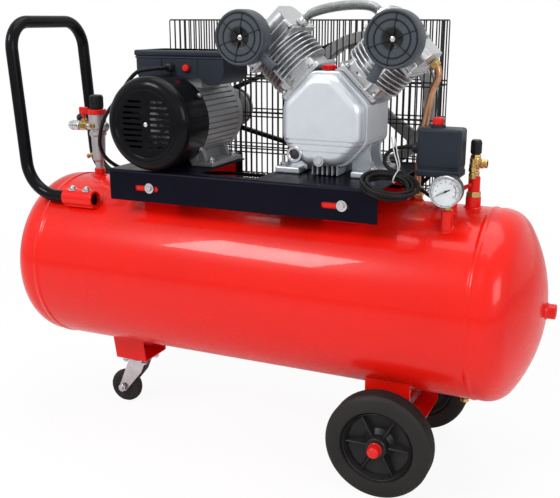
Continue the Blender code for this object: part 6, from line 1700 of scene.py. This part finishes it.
def make_pipes():
    start, over = head_point(-1, 0.161, HEAD_HALF_WIDTH + FIT)
    end, back = head_point(1, 0.178, -HEAD_HALF_WIDTH - FIT)
    straight, pull = 2 * HOSE_RADIUS, 0.022
    bend = swing(start + over * straight, over * pull, end - back * straight, back * pull, 120)
    ribs = 74
    path = [MIDDLE + p for p in spread([start, *bend, end], 4 * ribs + 1)]
    hose = swept(path, HOSE_RADIUS - 0.0001, 24, (1.0, 0.86, 0.68, 0.86))
    piece("intercooler_bellows", hose, HOSE_STEEL, replaces="intercooler_hose", sharp=60)
    nuts = []
    for place, way in ((start, over), (end, -back)):
        at = MIDDLE + place
        nuts += [
            hexagon(at, way, 0.0115, 0.008),
            spun([(0, 0.007), (0.0105, 0.007), (0.0100, 0.011), (0.0092, 0.012), (0, 0.012)], at, way, 32)
        ]
    piece("bellows_nuts", merged(*nuts), HOSE_STEEL)

    start, over = head_point(1, 0.182, HEAD_HALF_WIDTH + FIT)
    start.y = PIPE_Y
    foot = Vector((CHECK_X, PIPE_Y, TANK_TOP + CHECK_RISE + FIT))
    knots = [
        start + over * 2 * PIPE_RADIUS, (start.x + 0.010, PIPE_Y, start.z - 0.026),
        (start.x - 0.002, PIPE_Y, start.z - 0.062), (CHECK_X + 0.004, PIPE_Y, foot.z + 0.080),
        foot + UP * 0.020, foot + UP * 2 * PIPE_RADIUS
    ]
    path = [start, *smooth(knots, 60), foot]
    piece(
        "delivery_tube", swept([MIDDLE + p for p in path], PIPE_RADIUS, 20), COPPER,
        replaces="delivery_pipe"
    )
    foot = MIDDLE + foot
    fittings = [
        hexagon(MIDDLE + start, over, 0.0105, 0.010), hexagon(foot, UP, 0.0105, 0.012),
        spun([(0, -0.010), (0.0115, -0.010), (0.0115, -0.001), (0.0100, 0), (0, 0)], foot, UP, 32),
        hexagon(foot + DOWN * 0.007, UP, 0.0138, 0.005)
    ]
    piece("pipe_nuts", merged(*fittings), BRASS)


# Belt guard

def make_guard():
    """Two sheets of upright wires, joined by the wires of the rim."""
    thin, thick = 0.0015, 0.0026
    left, right, low, top = GUARD_LEFT, GUARD_RIGHT, GUARD_BOTTOM, GUARD_TOP
    count = 46
    across = [left + (right - left) * i / count for i in range(1, count)]
    near, far = GUARD_FRONT + 0.0015, GUARD_REAR - 0.0015
    rails = (0.561, 0.569, 0.638, 0.646, 0.711, 0.719)
    hoop = filleted([(left, low), (right, low), (right, top - 0.0011), (left, top - 0.0011)], 0.004, 4)

    def sheet(y, behind):
        wires = [rod(spot(x, y, low), spot(x, y, top - 0.001), thin, 6) for x in across]
        wires.append(swept([spot(x, y, z) for x, z in hoop], thick / 2, 8, loop=True))
        wires += [
            rod(spot(left, y + behind * 0.0012, z), spot(right, y + behind * 0.0012, z), thin, 8)
            for z in rails
        ]
        return merged(*wires)

    piece("guard_front_wires", sheet(near, 1), GUARD_ENAMEL, replaces="guard_front")
    piece("guard_rear_wires", sheet(far, -1), GUARD_ENAMEL, replaces="guard_rear")
    rim = [rod(spot(x, near, z), spot(x, far, z), thin, 6) for x in across for z in (low + thin, top - thin)]
    depth = [near + (far - near) * i / 4 for i in range(1, 4)]
    rim += [
        rod(spot(x, y, low), spot(x, y, top - 0.001), thin, 6) for y in depth
        for x in (left + 0.0002, right - 0.0002)
    ]
    rim += [
        rod(spot(x, near, z), spot(x, far, z), thin, 6) for x in (left + 0.0012, right - 0.0012)
        for z in (low + thin, *rails[::2], top - thin)
    ]
    rim += [
        rod(spot(left, y, z), spot(right, y, z), thin, 6) for y in depth[1::2]
        for z in (low + thin, top - thin)
    ]
    piece("guard_rim_wires", merged(*rim), GUARD_ENAMEL, replaces="guard_band")


# Switch, gauge, outlet and regulator

def make_switch():
    case = slab(
        (SWITCH_LEFT, SWITCH_FRONT, SWITCH_LOW + 0.014), (SWITCH_RIGHT, SWITCH_REAR, SWITCH_TOP), 0.006, 4
    )
    waist = slab(
        (SWITCH_LEFT + 0.0012, SWITCH_FRONT + 0.0012, SWITCH_LOW + 0.010),
        (SWITCH_RIGHT - 0.0012, SWITCH_REAR - 0.0012, SWITCH_LOW + 0.024), 0.003
    )
    base = slab(
        (SWITCH_LEFT, SWITCH_FRONT, SWITCH_LOW), (SWITCH_RIGHT, SWITCH_REAR, SWITCH_LOW + 0.0125), 0.003, 3
    )
    gland_z = TANK_TOP + GLAND_RISE
    gland = merged(hexagon(spot(SWITCH_LEFT + 0.001, SWITCH_Y, gland_z), LEFT, 0.0105, 0.006), spun(
        [(0, 0.005), (0.0092, 0.005), (0.0092, 0.010), (0.0080, 0.0128), (0.0055, 0.0139), (0, 0.0139)],
        spot(SWITCH_LEFT, SWITCH_Y, gland_z), LEFT, 36
    ), hexagon(spot(SWITCH_ENTRY_X, SWITCH_REAR - 0.001, SWITCH_ENTRY_Z), BACK, 0.0085, 0.006))
    knob_place = spot(SWITCH_KNOB_X, SWITCH_Y, SWITCH_TOP)
    collar = spun(
        [(0.0106, -0.002), (0.0134, -0.002), (0.0128, 0.0045), (0.0106, 0.0045)], knob_place, UP, 40,
        ring=True
    )
    piece(
        "pressure_switch_case", merged(case, waist, base, gland, collar), CHARCOAL_PLASTIC,
        replaces="pressure_switch"
    )
    knob = spun([
        (0, 0.0175), (0.006, 0.0174), (0.0088, 0.0166), (0.0098, 0.0150), (0.0098, 0.0062),
        (0.0092, 0.0045), (0.0055, 0.004), (0.0055, -0.020), (0, -0.020)
    ], knob_place, UP, 40)
    grips = around(
        16, lambda: brick((0.0092, -0.0007, 0.0062), (0.0100, 0.0007, 0.0145), 0.0003, 1), knob_place, UP
    )
    piece("switch_red_knob", merged(knob, grips), RED_MOULDING, "switch_knob", "switch_knob")
    nuts = [
        hexagon(spot(SWITCH_POST_X, SWITCH_Y, TANK_TOP + rise), UP, 0.0125, height)
        for rise, height in ((0.015, 0.012), (0.046, 0.0128))
    ]
    pipe = spun(
        [(0, 0), (0.0085, 0), (0.0085, 0.040), (0, 0.040)], spot(SWITCH_POST_X, SWITCH_Y, TANK_TOP + 0.014),
        UP, 28
    )
    piece("switch_stem", merged(*nuts, pipe), BRASS)


def make_gauge():
    here = spot(GAUGE_X, GAUGE_REAR, GAUGE_Z)
    depth, r = GAUGE_REAR - GAUGE_FRONT, GAUGE_RADIUS
    floor = depth - 0.005
    case = spun([
        (0, floor - 0.003), (0.0021, floor - 0.003), (0.0021, floor - 0.0008), (r - 0.003, floor - 0.0008),
        (r - 0.003, depth - 0.006), (r - 0.0006, depth - 0.006), (r - 0.0006, 0.006), (r - 0.003, 0.001),
        (r - 0.006, 0), (0, 0)
    ], here, FRONT, 72)
    piece("gauge_case", case, BLACK_PLASTIC, replaces="gauge")
    bezel = spun([
        (r - 0.0034, depth - 0.0015), (r - 0.0026, depth), (r - 0.001, depth - 0.0002), (r, depth - 0.0016),
        (r, depth - 0.008), (r - 0.0034, depth - 0.008)
    ], here, FRONT, 72, ring=True)
    piece("gauge_bezel", bezel, MACHINED_STEEL)
    dial = spun(
        [(0.0022, floor - 0.0012), (r - 0.003, floor - 0.0012), (r - 0.003, floor), (0.0022, floor)], here,
        FRONT, 64, ring=True
    )
    piece("gauge_dial", dial, DIAL_CARD)
    face = Matrix.Translation(here + FRONT * floor) @ Matrix.Rotation(math.pi / 2, 4, "X")
    ticks = []
    for i in range(41):
        turn = math.radians(120 - 240 * i / 40)
        inner = 0.0195 if i % 5 == 0 else 0.0212
        wide = 0.00038 if i % 5 == 0 else 0.0002
        tick = brick((-wide, inner, 0), (wide, 0.0230, 0.00012))
        tick.transform(face @ Matrix.Rotation(turn, 4, "Z"))
        ticks.append(tick)
    for i in range(9):
        turn = math.radians(120 - 240 * i / 8)
        figure = bpy.data.curves.new("figure", "FONT")
        figure.body = str(2 * i)
        figure.size = 0.0046
        figure.align_x, figure.align_y = "CENTER", "CENTER"
        figure.extrude = 0.00006
        holder = bpy.data.objects.new("figure", figure)
        bpy.context.scene.collection.objects.link(holder)
        bpy.context.view_layer.update()
        mesh = bpy.data.meshes.new_from_object(holder.evaluated_get(bpy.context.evaluated_depsgraph_get()))
        bpy.data.objects.remove(holder)
        bpy.data.curves.remove(figure)
        work = bmesh.new()
        work.from_mesh(mesh)
        bpy.data.meshes.remove(mesh)
        work.transform(face @ Matrix.Translation((
            -0.0162 * math.sin(turn), 0.0162 * math.cos(turn), 0.00006
        )))
        ticks.append(work)
    piece("gauge_scale", merged(*ticks), DIAL_INK)
    red = prism(arc(
        (0, 0), 0.0186, math.radians(-25), math.radians(45), 20
    ) + arc((0, 0), 0.0174, math.radians(45), math.radians(-25), 20), 0.0001, face)
    piece("gauge_red_arc", red, DIAL_RED)
    pivot = JOINT["gauge_needle_swing"]
    turn = math.radians(117)
    flat = prism([
        (-0.0011, -0.0085), (0.0011, -0.0085), (0.0012, -0.002), (0.0009, 0.001), (0.00025, 0.0185),
        (-0.00025, 0.0185), (-0.0009, 0.001), (-0.0012, -0.002)
    ], 0.0006)
    flat.transform(Matrix.Translation(pivot + FRONT * -0.0003) @ Matrix.Rotation(
        math.pi / 2, 4, "X"
    ) @ Matrix.Rotation(turn, 4, "Z"))
    hub = spun([
        (0, 0.0010), (0.0010, 0.0010), (0.0017, 0.0005), (0.0017, -0.0012), (0.0015, -0.0026), (0, -0.0026)
    ], pivot, FRONT, 24)
    piece("gauge_pointer", merged(flat, hub), DIAL_INK, "gauge_needle", "gauge_needle")
    glass = spun([
        (0, depth - 0.0012), (r - 0.0036, depth - 0.0014), (r - 0.0036, depth - 0.0024), (0, depth - 0.0022)
    ], here, FRONT, 48)
    piece("gauge_lens", glass, LENS)
    low = spot(GAUGE_X, GAUGE_POST_Y, TANK_TOP + GAUGE_POST_RISE + FIT)
    stem = merged(
        spun([(0, 0), (0.0058, 0), (0.0058, 0.022), (0, 0.022)], low, UP, 24),
        hexagon(low + UP * 0.003, UP, 0.0078, 0.007)
    )
    piece("gauge_stem", stem, BRASS)


def make_outlet():
    low = TANK_TOP + 0.066 + FIT
    here = spot(RISER_X, 0, low)
    pipe = spun([
        (0, TANK_TOP + 0.015), (0.0105, TANK_TOP + 0.015), (0.0105, TANK_TOP + 0.054),
        (0.0090, TANK_TOP + 0.056), (0.0055, TANK_TOP + 0.056), (0.0055, low), (0, low)
    ], spot(RISER_X, 0, 0), UP, 40)
    collar = merged(
        hexagon(spot(RISER_X, 0, TANK_TOP + 0.0195), UP, 0.0134, 0.009),
        hexagon(spot(RISER_X, 0, TANK_TOP + 0.0565), UP, 0.0088, 0.008)
    )
    h, r = 0.028, 0.010
    barrel = spun([
        (0, 0), (0.0072, 0), (0.0078, 0.001), (0.0078, 0.004), (r, 0.0065), (r, 0.021), (0.0085, 0.0235),
        (0.007, 0.0245), (0.007, h), (0, h)
    ], here, UP, 40)
    bonnet = hexagon(here + UP * 0.0225, UP, 0.0095, 0.0050)
    mouth = spun([
        (0.005, 0.021), (0.0075, 0.021), (0.0075, 0.018), (0.0066, 0.0172), (0.0066, 0.016),
        (0.0075, 0.0152), (0.0075, 0), (0, 0), (0, 0.012), (0.005, 0.012)
    ], here + UP * 0.45 * h, RIGHT, 32)
    mouth_nut = hexagon(here + UP * 0.45 * h + RIGHT * 0.0085, RIGHT, 0.0088, 0.006)
    stub = here + UP * 0.35 * h
    safety = stub + FRONT * 0.022 + DOWN * 0.6 * 0.034
    branch = rod(stub, stub + FRONT * 0.022, 0.005, 20)
    relief = spun([
        (0, 0), (0.0062, 0), (0.0062, 0.008), (0.0052, 0.009), (0.0052, 0.011), (0.0062, 0.012),
        (0.0062, 0.0255), (0.0037, 0.0258), (0.0037, 0.034), (0, 0.034)
    ], safety, UP, 28)
    relief_nut = hexagon(safety + UP * 0.012, UP, 0.0072, 0.006)
    valve = merged(barrel, bonnet, mouth, mouth_nut, branch, relief, relief_nut, collar)
    piece("outlet_brass_valve", valve, BRASS, replaces="outlet_valve")
    piece("riser_pipe", pipe, TANK_ENAMEL)
    turn = JOINT["outlet_knob_turn"]
    k, h = 0.0094, 0.026
    knob = spun([
        (0, h), (0.72 * k, h), (0.92 * k, h - 0.0015), (k, h - 0.004), (k, 0.003), (0.86 * k, 0.0005),
        (0, 0.0005)
    ], turn, UP, 40)
    grips = around(12, lambda: brick((0.0088, -0.0011, 0.003), (0.0098, 0.0011, 0.022), 0.0004, 1), turn, UP)
    piece("outlet_black_knob", merged(knob, grips), BLACK_PLASTIC, "outlet_knob", "outlet_knob")
    paddle = [(-0.001, -0.0190), (-0.001, -0.0245), (-0.018, -0.0375), (-0.0235, -0.0350), (-0.0215, -0.0280)]
    lever = rounded(standing([(RISER_X + x, low + z) for x, z in paddle], -0.0285, -0.0155), 0.0015, 3)
    piece("safety_lever", lever, RED_MOULDING)


def make_regulator():
    low, waist, top = TANK_TOP + REGULATOR_POST_RISE + FIT, TANK_TOP + 0.088, TANK_TOP + 0.140
    r, foot = 0.0185, 0.012
    body = spun([
        (0, top - 0.010), (r - 0.001, top - 0.010), (r, top - 0.012), (r, waist + 0.014),
        (r - 0.001, waist + 0.012), (r - 0.003, waist + 0.010), (r - 0.003, waist + 0.008),
        (r - 0.0005, waist + 0.006), (r - 0.0005, waist - 0.001), (r - 0.002, waist - 0.003),
        (r - 0.0035, waist - 0.006), (foot + 0.001, TANK_TOP + 0.034), (foot, TANK_TOP + 0.032),
        (foot - 0.003, TANK_TOP + 0.030), (foot - 0.003, low), (0, low)
    ], spot(REGULATOR_X, 0, 0), UP, 56)
    z = TANK_TOP + 0.104
    end = REGULATOR_X - 0.070
    there = spot(end, 0, z)
    lug = spun([
        (0, 0.012), (0.0095, 0.012), (0.0095, 0.0225), (0.0085, 0.0235), (0.006, 0.0235), (0.006, 0.0215),
        (0, 0.0215)
    ], spot(REGULATOR_X, 0, z), RIGHT, 32)
    coupler = spun([
        (0.0045, 0), (0.0082, 0), (0.0088, 0.0008), (0.0088, 0.004), (0.0105, 0.0055), (0.0105, 0.0075),
        (0.0099, 0.008), (0.0099, 0.0095), (0.0105, 0.010), (0.0105, 0.012), (0.0099, 0.0125),
        (0.0099, 0.014), (0.0105, 0.0145), (0.0105, 0.024), (0.0095, 0.0258), (0.0074, 0.026),
        (0.0074, 0.066), (0, 0.066), (0, 0.020), (0.0045, 0.020)
    ], there, RIGHT, 40)
    piece("regulator_casting", merged(body, lug), SATIN_ALUMINIUM, replaces="regulator_body")
    tap_x = REGULATOR_X - 0.034
    fitting = merged(hexagon(spot(tap_x - 0.009, 0, z), RIGHT, 0.0105, 0.018), spun(
        [(0.0042, 0), (0.0062, 0), (0.0062, 0.007), (0.0050, 0.008), (0.0042, 0.008)],
        spot(tap_x, 0, z + 0.0070), UP, 28, ring=True
    ))
    piece("coupler_sleeve", coupler, ZINC_PLATE)
    petcock = spun([
        (0, 0), (0.0042, 0), (0.0042, 0.010), (0.003, 0.0105), (0.003, 0.016), (0.0048, 0.0165),
        (0.0048, 0.0205), (0, 0.0205)
    ], spot(REGULATOR_X - 0.009, 0, TANK_TOP + 0.046), (-0.94, -0.1, -0.34), 24)
    eye = spun(
        [(0.0026, 0), (0.0058, 0), (0.0058, 0.0050), (0.0050, 0.0058), (0.0026, 0.0058)],
        spot(REGULATOR_X, -r + 0.002, z + 0.003), FRONT, 28, ring=True
    )
    piece("coupler_fitting", merged(fitting, petcock, eye), BRASS)
    ring = spun([
        (0, top - 0.0102), (r + 0.0008, top - 0.0102), (r + 0.0010, top - 0.0090),
        (r + 0.0010, top - 0.0012), (r + 0.0004, top), (0, top)
    ], spot(REGULATOR_X, 0, 0), UP, 56)
    piece("regulator_red_ring", ring, RED_MOULDING)
    turn = JOINT["regulator_knob_turn"]
    k, h = 0.0138, 0.030
    knob = spun([
        (0, h), (k - 0.004, h), (k - 0.0012, h - 0.0012), (k, h - 0.004), (k, 0.004), (k - 0.001, 0.0006),
        (0, 0.0006)
    ], turn, UP, 56)
    grips = around(
        24, lambda: brick((k - 0.0006, -0.0009, 0.003), (k + 0.0007, 0.0009, h - 0.004), 0.0004, 1), turn,
        UP
    )
    piece("regulator_black_knob", merged(knob, grips), BLACK_PLASTIC, "regulator_knob", "regulator_knob")
    neck, cap_way = spot(tap_x - 0.006, 0.002, z + 0.002), Vector((-0.62, 0.62, 0.48))
    cap = spun([
        (0, 0), (0.0048, 0), (0.0048, 0.017), (0.0078, 0.018), (0.0090, 0.020), (0.0090, 0.028),
        (0.0078, 0.030), (0, 0.030)
    ], neck, cap_way, 36)
    piece("regulator_rear_cap", cap, BLACK_PLASTIC)
    stem = spot(tap_x, 0, z + 0.0075)
    wing = rounded(slab((tap_x - 0.011, -0.0034, z + 0.0245), (tap_x + 0.011, 0.0034, z + 0.0395)), 0.0028, 3)
    grip = merged(spun([
        (0, -0.003), (0.0034, -0.003), (0.0034, 0.016), (0.0058, 0.018), (0.0058, 0.024), (0.0030, 0.026),
        (0, 0.026)
    ], stem, UP, 24), wing)
    piece("tap_red_wing", grip, RED_MOULDING, "tap_handle", "tap_handle")


make_stage()
make_cord()
make_tank()
make_handle()
make_base_plate()
make_wheels()
make_motor()
make_drive()
make_crankcase()
for cylinder_side, cylinder_name, snorkel in ((-1, "left", -41), (1, "right", -120)):
    make_cylinder(cylinder_side, cylinder_name)
    make_filter(cylinder_side, cylinder_name, snorkel)
    for inner in ("piston", "con_rod"):
        kept(f"{inner}_{cylinder_name}", TURNED_ALUMINIUM)
make_pipes()
make_guard()
make_switch()
make_gauge()
make_outlet()
make_regulator()
